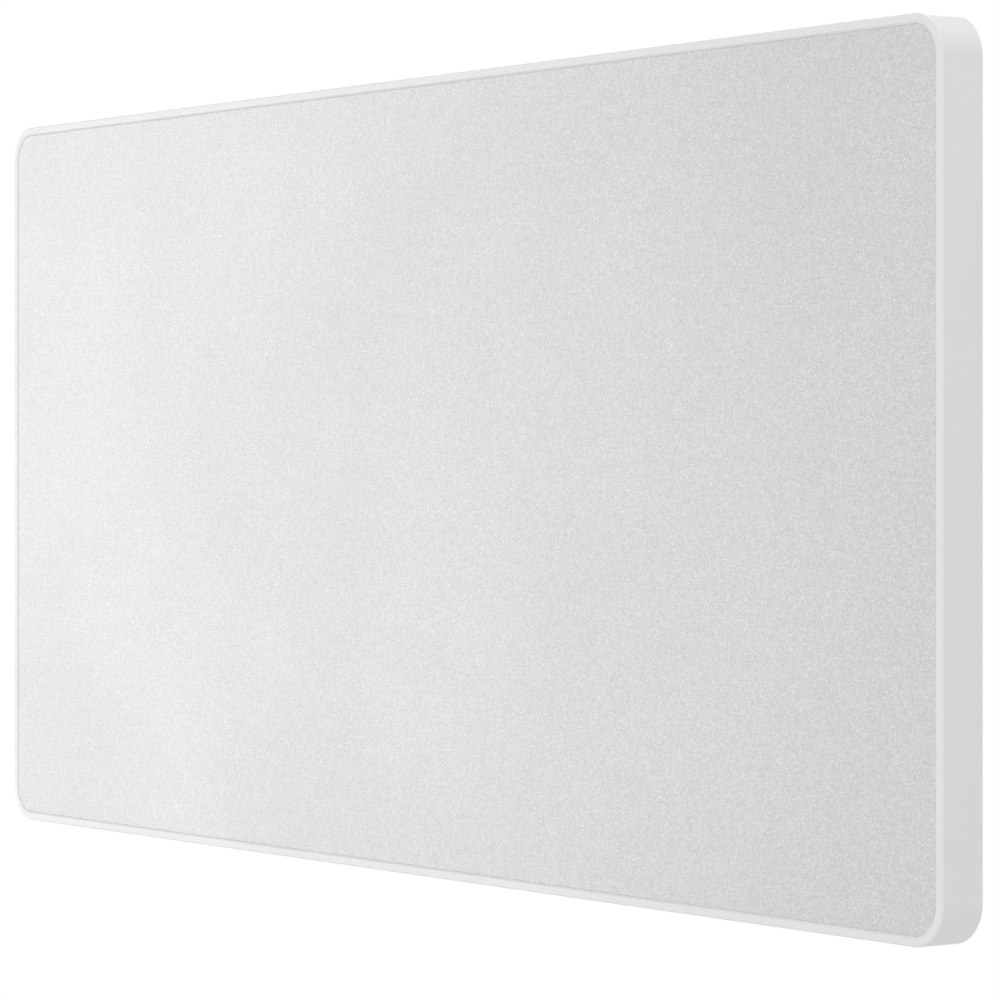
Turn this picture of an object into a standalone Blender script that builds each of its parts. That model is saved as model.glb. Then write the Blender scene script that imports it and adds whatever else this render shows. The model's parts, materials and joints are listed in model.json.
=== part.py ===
"""A slim wall battery unit that hangs on a steel rail.

Metres, +X to the right, -Y to the front, +Z up. The origin is the middle of the rail's back
face, which lies on the wall. Depths inside the slab are counted from the bezel's front face.
"""

import math

import bmesh
import bpy
from mathutils import Matrix, Vector

# The slab
WIDTH = 1.230
HEIGHT = 0.600
DEPTH = 0.034
CORNER_RADIUS = 0.029
CORNER_STEPS = 10

# The frame around it
SIDE_WALL = 0.0024
BEZEL_WIDTH = 0.006
EDGE_CHAMFER = 0.0006
LEDGE_WIDTH = 0.007
LEDGE_THICKNESS = 0.002

# Clearances
SEAT_GAP = 0.0003
FIT_GAP = 0.0006
PANEL_GAP = 0.001
BACK_GAP = 0.0008
TRAY_GAP = 0.001

# Panel, pad, gaskets and rear cover
PANEL_RECESS = 0.0004
PANEL_THICKNESS = 0.002
PAD_THICKNESS = 0.0032
GASKET_THICKNESS = 0.0008
PANEL_GASKET_WIDTH = 0.004
BACK_GASKET_WIDTH = 0.0026
BACK_THICKNESS = 0.002

# The wall rail and the cleat that hooks on it
WALL_GAP = 0.022
RAIL_BELOW_TOP = 0.110
RAIL_LENGTH = 0.600
RAIL_HEIGHT = 0.060
RAIL_SHEET = 0.003
RAIL_LIP = 0.018
RAIL_HOLE_RADIUS = 0.004
RAIL_HOLE_PITCH = 0.170
RAIL_HOLE_RISE = 0.012
RAIL_HOLES = 4
HOOK_CLEARANCE = 0.001
CLEAT_LIP = 0.013
CLEAT_DROP = 0.040

# Rubber bumpers
BUMPER_SIDE = 0.036
BUMPER_FROM_SIDE = 0.110
BUMPER_FROM_BOTTOM = 0.065
BUMPER_BEVEL = 0.003

# Rear screws
SCREW_INSET = 0.009
SCREW_FROM_END = 0.055
SCREWS_PER_LONG_SIDE = 4
SCREW_SHANK = 0.0017
SCREW_HEAD = 0.0036
SCREW_HEAD_HEIGHT = 0.0022
SCREW_CLEARANCE = 0.0004
SCREW_SHOULDER = 0.0013
SCREW_CROWN_RADIUS = 0.0025

# Tray and cell modules
TRAY_WALL = 0.002
BAY_WIDTH = 0.170
CHANNEL_HEIGHT = 0.040
COLUMNS_PER_SIDE = 2
MODULE_CLEARANCE = 0.0005
MODULE_BEVEL = 0.003
TAB_INSET = 0.030
TAB_WIDTH = 0.030
TAB_LENGTH = 0.014
TAB_THICKNESS = 0.001
LINK_THICKNESS = 0.002
LINK_WIDTH = 0.012

# Electronics in the bay, measured down from the slab's middle
BOARD_WIDTH = 0.120
BOARD_HEIGHT = 0.180
BOARD_THICKNESS = 0.0016
BOARD_BOSS = 0.006
BOARD_STAND_OFF = 0.0018
BOARD_START = 0.030
COMPONENT_HEIGHT = 0.008
COMPONENT_SIDE = 0.020
COMPONENT_COLUMNS = 4
COMPONENT_ROWS = 3
COLUMN_PITCH = 0.026
ROW_PITCH = 0.036
FIRST_ROW = 0.032
HEADER_WIDTH = 0.096
HEADER_HEIGHT = 0.021
HEADER_DROP = 0.039
CONTACTOR_WIDTH = 0.036
CONTACTOR_START = 0.024
CONTACTOR_HEIGHT = 0.036
CONTACTOR_X = -0.054
FUSE_SLACK = 0.0011
FUSE_CAP_STEP = 0.0007
FUSE_LENGTH = 0.046
FUSE_CAP = 0.009
FUSE_X = -0.039
FUSE_DROP = 0.0695
SHUNT_WIDTH = 0.014
SHUNT_WAIST = 0.008
SHUNT_X = 0.045
SHUNT_THICKNESS = 0.004
SHUNT_BOTTOM = 0.078
LEAD_TOP = 0.066
LEAD_WIDTH = 0.010

# Connector recess
RECESS_WIDTH = 0.130
RECESS_HEIGHT = 0.100
RECESS_DROP = 0.096
BOX_WALL = 0.002
BOX_FRONT = 0.0065
SOCKET_X = 0.030
SOCKET_RADIUS = 0.006
SOCKET_BORE = 0.0042
SOCKET_BORE_DEPTH = 0.011
SOCKET_REACH = 0.014
BLADE_WIDTH = 0.008
BLADE_RISE = 0.014
DATA_WIDTH = 0.016
DATA_DEPTH = 0.012
DATA_PORT_WIDTH = 0.012
DATA_PORT_DEPTH = 0.008
DATA_RISE = 0.008

# Hinged connector cover
COVER_THICKNESS = 0.0025
HINGE_DEPTH = 0.004
HINGE_DROP = 0.0048
BARREL_RADIUS = 0.0026
PIN_RADIUS = 0.0012
PIN_ENGAGEMENT = 0.0016
NOTCH_WIDTH = 0.014
NOTCH_HEIGHT = 0.012
STOP_WIDTH = 0.004
STOP_HEIGHT = 0.006

# Controls in the underside
CONTROL_X = 0.030
BUTTON_RADIUS = 0.0064
BUTTON_FLANGE = 0.0012
BUTTON_FLANGE_RADIUS = 0.0076
BUTTON_TRAVEL = 0.0012
BUTTON_SWITCH = (0.014, 0.013, 0.009)
ROCKER_HALF = 0.0105
ROCKER_WIDTH = 0.0112
ROCKER_END = 0.0042
ROCKER_MIDDLE = 0.0032
ROCKER_BACK = 0.002
ROCKER_TILT = 6.0
ROCKER_PIVOT = 0.006
ROCKER_CLEARANCE = 0.0009
ROCKER_PIN_RADIUS = 0.001
SWITCH_WALL = 0.0014
SWITCH_HEIGHT = 0.020
NOTCH_OVER_CONTROLS = 0.024
NOTCH_HALF_WIDTH = 0.055

# Vent and earth stud on the rear cover
VENT_X = -0.330
VENT_DROP = 0.130
VENT_RADIUS = 0.012
VENT_HEIGHT = 0.003
VENT_STEM = 0.006
VENT_BEVEL = 0.0009
EARTH_X = 0.115
EARTH_DROP = 0.150
EARTH_STUD = 0.003
EARTH_HEX = 0.0065
EARTH_HEX_HEIGHT = 0.004
EARTH_LENGTH = 0.014

SIDES = 24
SMALL_SIDES = 12
PAST = 0.002
BITE = 0.0003

# Worked out from the sizes above
FRONT_Y = -(WALL_GAP + DEPTH)
CENTRE_Z = RAIL_BELOW_TOP - HEIGHT / 2
BOTTOM_Z = CENTRE_Z - HEIGHT / 2
PANEL_BACK = PANEL_RECESS + PANEL_THICKNESS
LEDGE_FRONT = PANEL_BACK + GASKET_THICKNESS + 2 * SEAT_GAP
LEDGE_INSET = BEZEL_WIDTH + LEDGE_WIDTH
BACK_LEDGE_END = DEPTH - BACK_THICKNESS - GASKET_THICKNESS - 2 * SEAT_GAP
BACK_LEDGE_START = BACK_LEDGE_END - LEDGE_THICKNESS
TRAY_INSET = LEDGE_INSET + TRAY_GAP
TRAY_BACK = DEPTH - BACK_THICKNESS - SEAT_GAP
TRAY_FLOOR = TRAY_BACK - TRAY_WALL
MODULE_FRONT = PANEL_BACK + PAD_THICKNESS + 2 * SEAT_GAP
MODULE_BACK = TRAY_FLOOR - SEAT_GAP
TRAY_HALF_WIDTH = WIDTH / 2 - TRAY_INSET
TRAY_HALF_HEIGHT = HEIGHT / 2 - TRAY_INSET
POCKET_START = BAY_WIDTH / 2 + TRAY_WALL
POCKET_WIDTH = (TRAY_HALF_WIDTH - POCKET_START) / COLUMNS_PER_SIDE - TRAY_WALL
MODULE_WIDTH = POCKET_WIDTH - 2 * MODULE_CLEARANCE
MODULE_HEIGHT = TRAY_HALF_HEIGHT - TRAY_WALL - MODULE_CLEARANCE - CHANNEL_HEIGHT / 2
MODULE_MIDDLE = (MODULE_FRONT + MODULE_BACK) / 2
LINK_BACK = MODULE_MIDDLE - TAB_THICKNESS / 2 - SEAT_GAP
LINK_FRONT = LINK_BACK - LINK_THICKNESS
BEHIND_LINKS = LINK_BACK + SEAT_GAP
FUSE_RADIUS = (MODULE_BACK - BEHIND_LINKS - FUSE_SLACK) / 2
FUSE_BODY_RADIUS = FUSE_RADIUS - FUSE_CAP_STEP
LINK_Z = CHANNEL_HEIGHT / 2 - TAB_LENGTH / 2
RECESS_TOP = CENTRE_Z - RECESS_DROP
RECESS_BOTTOM = RECESS_TOP - RECESS_HEIGHT
BOX_FLOOR = BOX_FRONT + BOX_WALL
HINGE_S = DEPTH - HINGE_DEPTH
HINGE_Z = RECESS_TOP - HINGE_DROP
SOCKET_S = (BOX_FLOOR + HINGE_S - BARREL_RADIUS) / 2
SOCKET_FACE = RECESS_TOP - SOCKET_REACH
CONTROL_S = (LEDGE_FRONT + LEDGE_THICKNESS + BACK_LEDGE_START) / 2
PIVOT_Z = BOTTOM_Z + ROCKER_PIVOT


def y_at(depth):
    """World Y of a plane this far behind the bezel's front face."""
    return FRONT_Y + depth


def clear_scene():
    for leftover in list(bpy.data.objects):
        bpy.data.objects.remove(leftover, do_unlink=True)


def material(name, colour, roughness, metallic):
    finish = bpy.data.materials.new(name)
    finish.use_nodes = True
    shader = finish.node_tree.nodes["Principled BSDF"]
    shader.inputs["Base Color"].default_value = (*colour, 1.0)
    shader.inputs["Roughness"].default_value = roughness
    shader.inputs["Metallic"].default_value = metallic
    return finish


def place(name, build, finish):
    """Turns a bmesh into an object whose faces point outwards."""
    bmesh.ops.remove_doubles(build, verts=build.verts, dist=1e-7)
    bmesh.ops.recalc_face_normals(build, faces=build.faces)
    mesh = bpy.data.meshes.new(name)
    build.to_mesh(mesh)
    build.free()
    piece = bpy.data.objects.new(name, mesh)
    bpy.context.scene.collection.objects.link(piece)
    if finish:
        mesh.materials.append(finish)
    return piece


def add_box(build, low, high):
    """Adds one box with these lowest and highest corners."""
    size = Vector(high) - Vector(low)
    middle = (Vector(high) + Vector(low)) / 2
    shape = Matrix.Translation(middle) @ Matrix.Diagonal((*size, 1.0))
    bmesh.ops.create_cube(build, size=1.0, matrix=shape)


def slab_box(x_low, x_high, near, far, z_low, z_high):
    """Corners of a box whose depths are counted from the bezel's front."""
    return (x_low, y_at(near), z_low), (x_high, y_at(far), z_high)


def boxes(name, corners, finish=None):
    build = bmesh.new()
    for low, high in corners:
        add_box(build, low, high)
    return place(name, build, finish)


def prism(name, outline, near, far, finish=None):
    """An outline of X, Z points, run from one depth to another."""
    build = bmesh.new()
    front = [build.verts.new((x, y_at(near), z)) for x, z in outline]
    back = [build.verts.new((x, y_at(far), z)) for x, z in outline]
    build.faces.new(front)
    build.faces.new(list(reversed(back)))
    for here, there in zip(range(-1, len(outline) - 1), range(len(outline))):
        build.faces.new((front[here], back[here], back[there], front[there]))
    return place(name, build, finish)


def bar(name, x_low, x_high, profile, finish):
    """A section of Y, Z points, run along X."""
    build = bmesh.new()
    left = [build.verts.new((x_low, y, z)) for y, z in profile]
    right = [build.verts.new((x_high, y, z)) for y, z in profile]
    build.faces.new(left)
    build.faces.new(list(reversed(right)))
    for here, there in zip(range(-1, len(profile) - 1), range(len(profile))):
        build.faces.new((left[here], right[here], right[there], left[there]))
    return place(name, build, finish)


def slab_outline(inset):
    """The slab's rounded outline, moved inwards by the inset, as X, Z points."""
    radius = CORNER_RADIUS - inset
    across = WIDTH / 2 - inset - radius
    up = HEIGHT / 2 - inset - radius
    points = []
    for quarter, (side, level) in enumerate(((1, 1), (-1, 1), (-1, -1), (1, -1))):
        for step in range(CORNER_STEPS + 1):
            angle = math.radians(90 * (quarter + step / CORNER_STEPS))
            x = side * across + radius * math.cos(angle)
            z = CENTRE_Z + level * up + radius * math.sin(angle)
            points.append((x, z))
    return points


def hoop(name, section, finish):
    """A closed section of inset, depth points, run round the slab's outline."""
    build = bmesh.new()
    rings = []
    for inset, depth in section:
        rings.append([build.verts.new((x, y_at(depth), z)) for x, z in slab_outline(inset)])
    count = len(rings[0])
    for here, there in zip(range(-1, len(rings) - 1), range(len(rings))):
        for spot in range(count):
            after = (spot + 1) % count
            corners = (rings[here][spot], rings[here][after], rings[there][after], rings[there][spot])
            build.faces.new(corners)
    return place(name, build, finish)


def turned(name, profile, finish=None, sides=SIDES):
    """Radius, height points from the axis back to the axis, turned about +Z."""
    build = bmesh.new()
    rings = []
    for radius, height in profile:
        if radius == 0:
            rings.append([build.verts.new((0, 0, height))])
            continue
        ring = []
        for side in range(sides):
            angle = 2 * math.pi * side / sides
            ring.append(build.verts.new((radius * math.cos(angle), radius * math.sin(angle), height)))
        rings.append(ring)
    for lower, upper in zip(rings, rings[1:]):
        for side in range(sides):
            after = (side + 1) % sides
            corners = [lower[side % len(lower)], lower[after % len(lower)]]
            corners += [upper[after % len(upper)], upper[side % len(upper)]]
            build.faces.new(list(dict.fromkeys(corners)))
    piece = place(name, build, finish)
    piece.data.shade_smooth()
    piece.data.set_sharp_from_angle(angle=math.radians(35))
    return piece


def rod(name, radius, length, finish=None, sides=SMALL_SIDES):
    """A plain cylinder about +Z, from -length / 2 to length / 2."""
    half = length / 2
    return turned(name, ((0, -half), (radius, -half), (radius, half), (0, half)), finish, sides)


def stand(piece, location, turn=(0, 0, 0)):
    """Moves and turns a piece built at the origin, in degrees."""
    piece.location = location
    piece.rotation_euler = [math.radians(angle) for angle in turn]
    return piece


def combine(piece, tool, operation="DIFFERENCE"):
    """Cuts or joins with a helper that stays out of the object."""
    step = piece.modifiers.new(tool.name, "BOOLEAN")
    step.operation = operation
    step.solver = "EXACT"
    step.object = tool
    tool.hide_render = True
    tool.display_type = "WIRE"


def several_rods(name, places, radius, length, turn, sides=SMALL_SIDES):
    """One helper made of equal rods, each at its own place."""
    build = bmesh.new()
    spin = Matrix.Rotation(math.radians(turn[0]), 4, "X") @ Matrix.Rotation(math.radians(turn[1]), 4, "Y")
    for spot in places:
        shape = Matrix.Translation(spot) @ spin
        bmesh.ops.create_cone(
            build,
            cap_ends=True,
            segments=sides,
            radius1=radius,
            radius2=radius,
            depth=length,
            matrix=shape,
        )
    return place(name, build, None)


def pivot(name, location, *pieces):
    """An empty on a joint's axis that carries the moving pieces."""
    axis = bpy.data.objects.new(name, None)
    axis.location = location
    bpy.context.scene.collection.objects.link(axis)
    for piece in pieces:
        piece.parent = axis
        piece.matrix_parent_inverse = Matrix.Translation(-Vector(location))


def screw_places():
    """X, Z of each rear screw: a row along each long side and one on each end."""
    pitch = (WIDTH - 2 * SCREW_FROM_END) / (SCREWS_PER_LONG_SIDE - 1)
    rise = HEIGHT / 2 - SCREW_INSET
    places = []
    for level in (1, -1):
        for count in range(SCREWS_PER_LONG_SIDE):
            places.append((SCREW_FROM_END - WIDTH / 2 + count * pitch, CENTRE_Z + level * rise))
    for side in (-1, 1):
        places.append((side * (WIDTH / 2 - SCREW_INSET), CENTRE_Z))
    return places


def frame_section():
    """Side wall, bezel and the two ledges, as inset, depth points."""
    ledge_back = LEDGE_FRONT + LEDGE_THICKNESS
    return (
        (0, EDGE_CHAMFER),
        (EDGE_CHAMFER, 0),
        (BEZEL_WIDTH, 0),
        (BEZEL_WIDTH, LEDGE_FRONT),
        (LEDGE_INSET, LEDGE_FRONT),
        (LEDGE_INSET, ledge_back),
        (SIDE_WALL, ledge_back),
        (SIDE_WALL, BACK_LEDGE_START),
        (LEDGE_INSET, BACK_LEDGE_START),
        (LEDGE_INSET, BACK_LEDGE_END),
        (SIDE_WALL, BACK_LEDGE_END),
        (SIDE_WALL, DEPTH),
        (EDGE_CHAMFER, DEPTH),
        (0, DEPTH - EDGE_CHAMFER),
    )


def switch_half_sizes():
    """Half width and half depth of the rocker switch's body."""
    across = ROCKER_HALF + ROCKER_CLEARANCE + SWITCH_WALL
    deep = ROCKER_WIDTH / 2 + SEAT_GAP + SWITCH_WALL
    return across, deep


def make_frame(finish):
    frame = hoop("perimeter_frame", frame_section(), finish)
    middle = (BACK_LEDGE_START + BACK_LEDGE_END) / 2
    spots = [(x, y_at(middle), z) for x, z in screw_places()]
    hole = SCREW_SHANK + SCREW_CLEARANCE
    combine(frame, several_rods("frame_screw_holes", spots, hole, LEDGE_THICKNESS + PAST, (90, 0)))
    button = rod("frame_button_hole", BUTTON_RADIUS + SCREW_CLEARANCE, SIDE_WALL + PAST, sides=SIDES)
    combine(frame, stand(button, (-CONTROL_X, y_at(CONTROL_S), BOTTOM_Z + SIDE_WALL / 2)))
    across, deep = switch_half_sizes()
    x_low, x_high = CONTROL_X - across - SEAT_GAP, CONTROL_X + across + SEAT_GAP
    near, far = CONTROL_S - deep - SEAT_GAP, CONTROL_S + deep + SEAT_GAP
    window = slab_box(x_low, x_high, near, far, BOTTOM_Z - PAST, BOTTOM_Z + SIDE_WALL + PAST)
    combine(frame, boxes("frame_switch_window", [window]))


def make_panel_and_pad(panel_finish, pad_finish, seal):
    panel_inset = BEZEL_WIDTH + PANEL_GAP
    prism("front_panel", slab_outline(panel_inset), PANEL_RECESS, PANEL_BACK, panel_finish)
    outer = panel_inset + PANEL_GAP
    inner = outer + PANEL_GASKET_WIDTH
    near = PANEL_BACK + SEAT_GAP
    far = near + GASKET_THICKNESS
    hoop("panel_gasket", ((outer, near), (inner, near), (inner, far), (outer, far)), seal)
    pad_far = near + PAD_THICKNESS
    prism("compression_pad", slab_outline(TRAY_INSET), near, pad_far, pad_finish)


def make_rear_cover(finish, rubber):
    cover = prism("rear_cover", slab_outline(SIDE_WALL + BACK_GAP), DEPTH - BACK_THICKNESS, DEPTH, finish)
    middle = DEPTH - BACK_THICKNESS / 2
    length = BACK_THICKNESS + PAST
    spots = [(x, y_at(middle), z) for x, z in screw_places()]
    hole = SCREW_SHANK + SCREW_CLEARANCE
    combine(cover, several_rods("cover_screw_holes", spots, hole, length, (90, 0)))
    half = RECESS_WIDTH / 2 + BOX_WALL + SCREW_CLEARANCE
    low = RECESS_BOTTOM - BOX_WALL - SCREW_CLEARANCE
    high = RECESS_TOP + BOX_WALL + SCREW_CLEARANCE
    window = slab_box(-half, half, DEPTH - BACK_THICKNESS - PAST, DEPTH + PAST, low, high)
    combine(cover, boxes("cover_recess_window", [window]))
    vent = rod("cover_vent_hole", VENT_STEM + SEAT_GAP, length, sides=SIDES)
    combine(cover, stand(vent, (VENT_X, y_at(middle), CENTRE_Z - VENT_DROP), (90, 0, 0)))
    outer = SIDE_WALL + BACK_GAP
    inner = outer + BACK_GASKET_WIDTH
    near = BACK_LEDGE_END + SEAT_GAP
    far = near + GASKET_THICKNESS
    hoop("rear_gasket", ((outer, near), (inner, near), (inner, far), (outer, far)), rubber)


def make_rear_screws(finish):
    reach = BACK_LEDGE_START - DEPTH
    profile = (
        (0, reach),
        (SCREW_SHANK, reach),
        (SCREW_SHANK, SEAT_GAP),
        (SCREW_HEAD, SEAT_GAP),
        (SCREW_HEAD, SEAT_GAP + SCREW_SHOULDER),
        (SCREW_CROWN_RADIUS, SEAT_GAP + SCREW_HEAD_HEIGHT),
        (0, SEAT_GAP + SCREW_HEAD_HEIGHT),
    )
    for count, (x, z) in enumerate(screw_places(), start=1):
        screw = turned(f"rear_screw_{count:02d}", profile, finish, SMALL_SIDES)
        stand(screw, (x, y_at(DEPTH), z), (-90, 0, 0))


def make_wall_rail(finish):
    """A J-shaped rail: plate on the wall, floor, and a lip that stands in front."""
    half = RAIL_HEIGHT / 2
    channel = RAIL_SHEET + 2 * HOOK_CLEARANCE
    lip_back = -(RAIL_SHEET + channel)
    lip_front = lip_back - RAIL_SHEET
    profile = (
        (0, half),
        (0, -half),
        (lip_front, -half),
        (lip_front, RAIL_LIP - half),
        (lip_back, RAIL_LIP - half),
        (lip_back, RAIL_SHEET - half),
        (-RAIL_SHEET, RAIL_SHEET - half),
        (-RAIL_SHEET, half),
    )
    rail = bar("wall_rail", -RAIL_LENGTH / 2, RAIL_LENGTH / 2, profile, finish)
    spots = []
    for count in range(RAIL_HOLES):
        x = (count - (RAIL_HOLES - 1) / 2) * RAIL_HOLE_PITCH
        spots.append((x, -RAIL_SHEET / 2, RAIL_HOLE_RISE))
    tool = several_rods("rail_holes", spots, RAIL_HOLE_RADIUS, RAIL_SHEET + PAST, (90, 0))
    combine(rail, tool)


def make_cleat(finish):
    """The hook on the unit's back: its web lies on the rail's lip."""
    web_low = RAIL_LIP - RAIL_HEIGHT / 2 + SEAT_GAP
    web_high = web_low + RAIL_SHEET
    lip_back = -(RAIL_SHEET + HOOK_CLEARANCE)
    lip_front = lip_back - RAIL_SHEET
    plate_front = SEAT_GAP - WALL_GAP
    plate_back = plate_front + RAIL_SHEET
    profile = (
        (plate_front, web_high),
        (lip_back, web_high),
        (lip_back, web_low - CLEAT_LIP),
        (lip_front, web_low - CLEAT_LIP),
        (lip_front, web_low),
        (plate_back, web_low),
        (plate_back, web_high - CLEAT_DROP),
        (plate_front, web_high - CLEAT_DROP),
    )
    bar("hanger_cleat", -RAIL_LENGTH / 2, RAIL_LENGTH / 2, profile, finish)


def make_bumpers(rubber):
    half = BUMPER_SIDE / 2
    z = BOTTOM_Z + BUMPER_FROM_BOTTOM
    for side, name in ((-1, "bumper_left"), (1, "bumper_right")):
        x = side * (WIDTH / 2 - BUMPER_FROM_SIDE)
        bumper = boxes(name, [((-half, SEAT_GAP - WALL_GAP, -half), (half, 0, half))], rubber)
        stand(bumper, (x, 0, z))
        rounding = bumper.modifiers.new("rounding", "BEVEL")
        rounding.width = BUMPER_BEVEL
        rounding.segments = 2


def pocket_low(column):
    """Distance from the middle to the near side of a column's pocket."""
    return POCKET_START + column * (POCKET_WIDTH + TRAY_WALL)


def make_tray(finish):
    outline = slab_outline(TRAY_INSET)
    tray = prism("cell_tray", outline, MODULE_FRONT, TRAY_BACK, finish)
    inside = TRAY_HALF_HEIGHT - TRAY_WALL
    near = MODULE_FRONT - PAST
    spans = [(-BAY_WIDTH / 2, BAY_WIDTH / 2)]
    for column in range(COLUMNS_PER_SIDE):
        start = pocket_low(column)
        spans.append((start, start + POCKET_WIDTH))
        spans.append((-start - POCKET_WIDTH, -start))
    low, high = CENTRE_Z - inside, CENTRE_Z + inside
    pockets = [slab_box(left, right, near, TRAY_FLOOR, low, high) for left, right in spans]
    combine(tray, boxes("tray_pockets", pockets))
    reach = TRAY_HALF_WIDTH - TRAY_WALL
    half = CHANNEL_HEIGHT / 2
    channel = slab_box(-reach, reach, near - PAST, TRAY_FLOOR - BITE, CENTRE_Z - half, CENTRE_Z + half)
    combine(tray, boxes("tray_channel", [channel]))
    side = RECESS_WIDTH / 2 + BOX_WALL + FIT_GAP
    top = RECESS_TOP + BOX_WALL + FIT_GAP
    bottom = RECESS_BOTTOM - BOX_WALL - FIT_GAP
    box_window = slab_box(-side, side, near - 2 * PAST, TRAY_BACK + PAST, bottom, top)
    control_top = BOTTOM_Z + NOTCH_OVER_CONTROLS
    past_wall = CENTRE_Z - TRAY_HALF_HEIGHT - PAST
    half_notch = NOTCH_HALF_WIDTH
    notch = slab_box(-half_notch, half_notch, near - 2 * PAST, TRAY_BACK + PAST, past_wall, control_top)
    combine(tray, boxes("tray_windows", [box_window, notch]))
    bosses = []
    for x, z in board_corners():
        half = BOARD_BOSS / 2
        corner = slab_box(x - half, x + half, board_back() + SEAT_GAP, TRAY_FLOOR + BITE, z - half, z + half)
        bosses.append(corner)
    combine(tray, boxes("tray_bosses", bosses), "UNION")


def board_back():
    return TRAY_FLOOR - BOARD_STAND_OFF


def board_corners():
    """X, Z of the board's four supports, one boss in from each corner."""
    across = BOARD_WIDTH / 2 - BOARD_BOSS
    low = CENTRE_Z + BOARD_START + BOARD_BOSS
    high = CENTRE_Z + BOARD_START + BOARD_HEIGHT - BOARD_BOSS
    return [(x, z) for x in (-across, across) for z in (low, high)]


def module_mesh(finish):
    """A flat sealed block with two tabs on its lower edge, centred on the origin."""
    build = bmesh.new()
    size = Vector((MODULE_WIDTH, MODULE_BACK - MODULE_FRONT, MODULE_HEIGHT))
    add_box(build, -size / 2, size / 2)
    bmesh.ops.bevel(build, geom=list(build.edges), offset=MODULE_BEVEL, segments=2, affect="EDGES")
    tab_x = MODULE_WIDTH / 2 - TAB_INSET
    cuts = [(Vector((0, side * TAB_THICKNESS / 2, 0)), Vector((0, 1, 0))) for side in (-1, 1)]
    for side in (-1, 1):
        for edge in (-1, 1):
            x = side * tab_x + edge * TAB_WIDTH / 2
            cuts.append((Vector((x, 0, 0)), Vector((1, 0, 0))))
    for point, normal in cuts:
        everything = build.verts[:] + build.edges[:] + build.faces[:]
        bmesh.ops.bisect_plane(build, geom=everything, dist=1e-7, plane_co=point, plane_no=normal)
    seats = []
    for face in build.faces:
        middle = face.calc_center_median()
        below = middle.z < 1e-5 - MODULE_HEIGHT / 2
        if below and abs(middle.y) < TAB_THICKNESS / 2 and abs(abs(middle.x) - tab_x) < TAB_WIDTH / 2:
            seats.append(face)
    tabs = bmesh.ops.extrude_discrete_faces(build, faces=seats)["faces"]
    ends = list({corner for face in tabs for corner in face.verts})
    bmesh.ops.translate(build, verts=ends, vec=(0, 0, -TAB_LENGTH))
    piece = place("cell_module", build, finish)
    mesh = piece.data
    bpy.data.objects.remove(piece)
    return mesh


def module_x(side, column):
    return side * (pocket_low(column) + POCKET_WIDTH / 2)


def make_modules(finish):
    """Two rows of modules whose tabs face each other across the middle channel."""
    mesh = module_mesh(finish)
    rise = CHANNEL_HEIGHT / 2 + MODULE_HEIGHT / 2
    across = [module_x(-1, 1), module_x(-1, 0), module_x(1, 0), module_x(1, 1)]
    for level, row, turn in ((1, "top", 0), (-1, "bottom", 180)):
        for count, x in enumerate(across, start=1):
            module = bpy.data.objects.new(f"cell_module_{row}_{count}", mesh)
            bpy.context.scene.collection.objects.link(module)
            stand(module, (x, y_at(MODULE_MIDDLE), CENTRE_Z + level * rise), (0, turn, 0))


def tab_x(side, column, outer):
    """X of a module's tab: the one towards the slab's end, or the one towards its middle."""
    offset = MODULE_WIDTH / 2 - TAB_INSET
    return module_x(side, column) + side * (offset if outer else -offset)


def make_links(copper):
    """Copper strips that join the modules in series, from one bottom inner module to the other."""
    half = LINK_WIDTH / 2
    number = 1
    for side in (-1, 1):
        for level in (-1, 1):
            ends = sorted((tab_x(side, 0, True), tab_x(side, 1, False)))
            z = CENTRE_Z + level * LINK_Z
            strip = slab_box(ends[0] - half, ends[1] + half, LINK_FRONT, LINK_BACK, z - half, z + half)
            boxes(f"cell_link_{number}", [strip], copper)
            number += 1
        x = tab_x(side, 1, True)
        low, high = CENTRE_Z - LINK_Z - half, CENTRE_Z + LINK_Z + half
        boxes(f"cell_link_{number}", [slab_box(x - half, x + half, LINK_FRONT, LINK_BACK, low, high)], copper)
        number += 1
    reach = tab_x(1, 0, False) + half
    z = CENTRE_Z + LINK_Z
    strip = slab_box(-reach, reach, LINK_FRONT, LINK_BACK, z - half, z + half)
    boxes(f"cell_link_{number}", [strip], copper)


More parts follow.
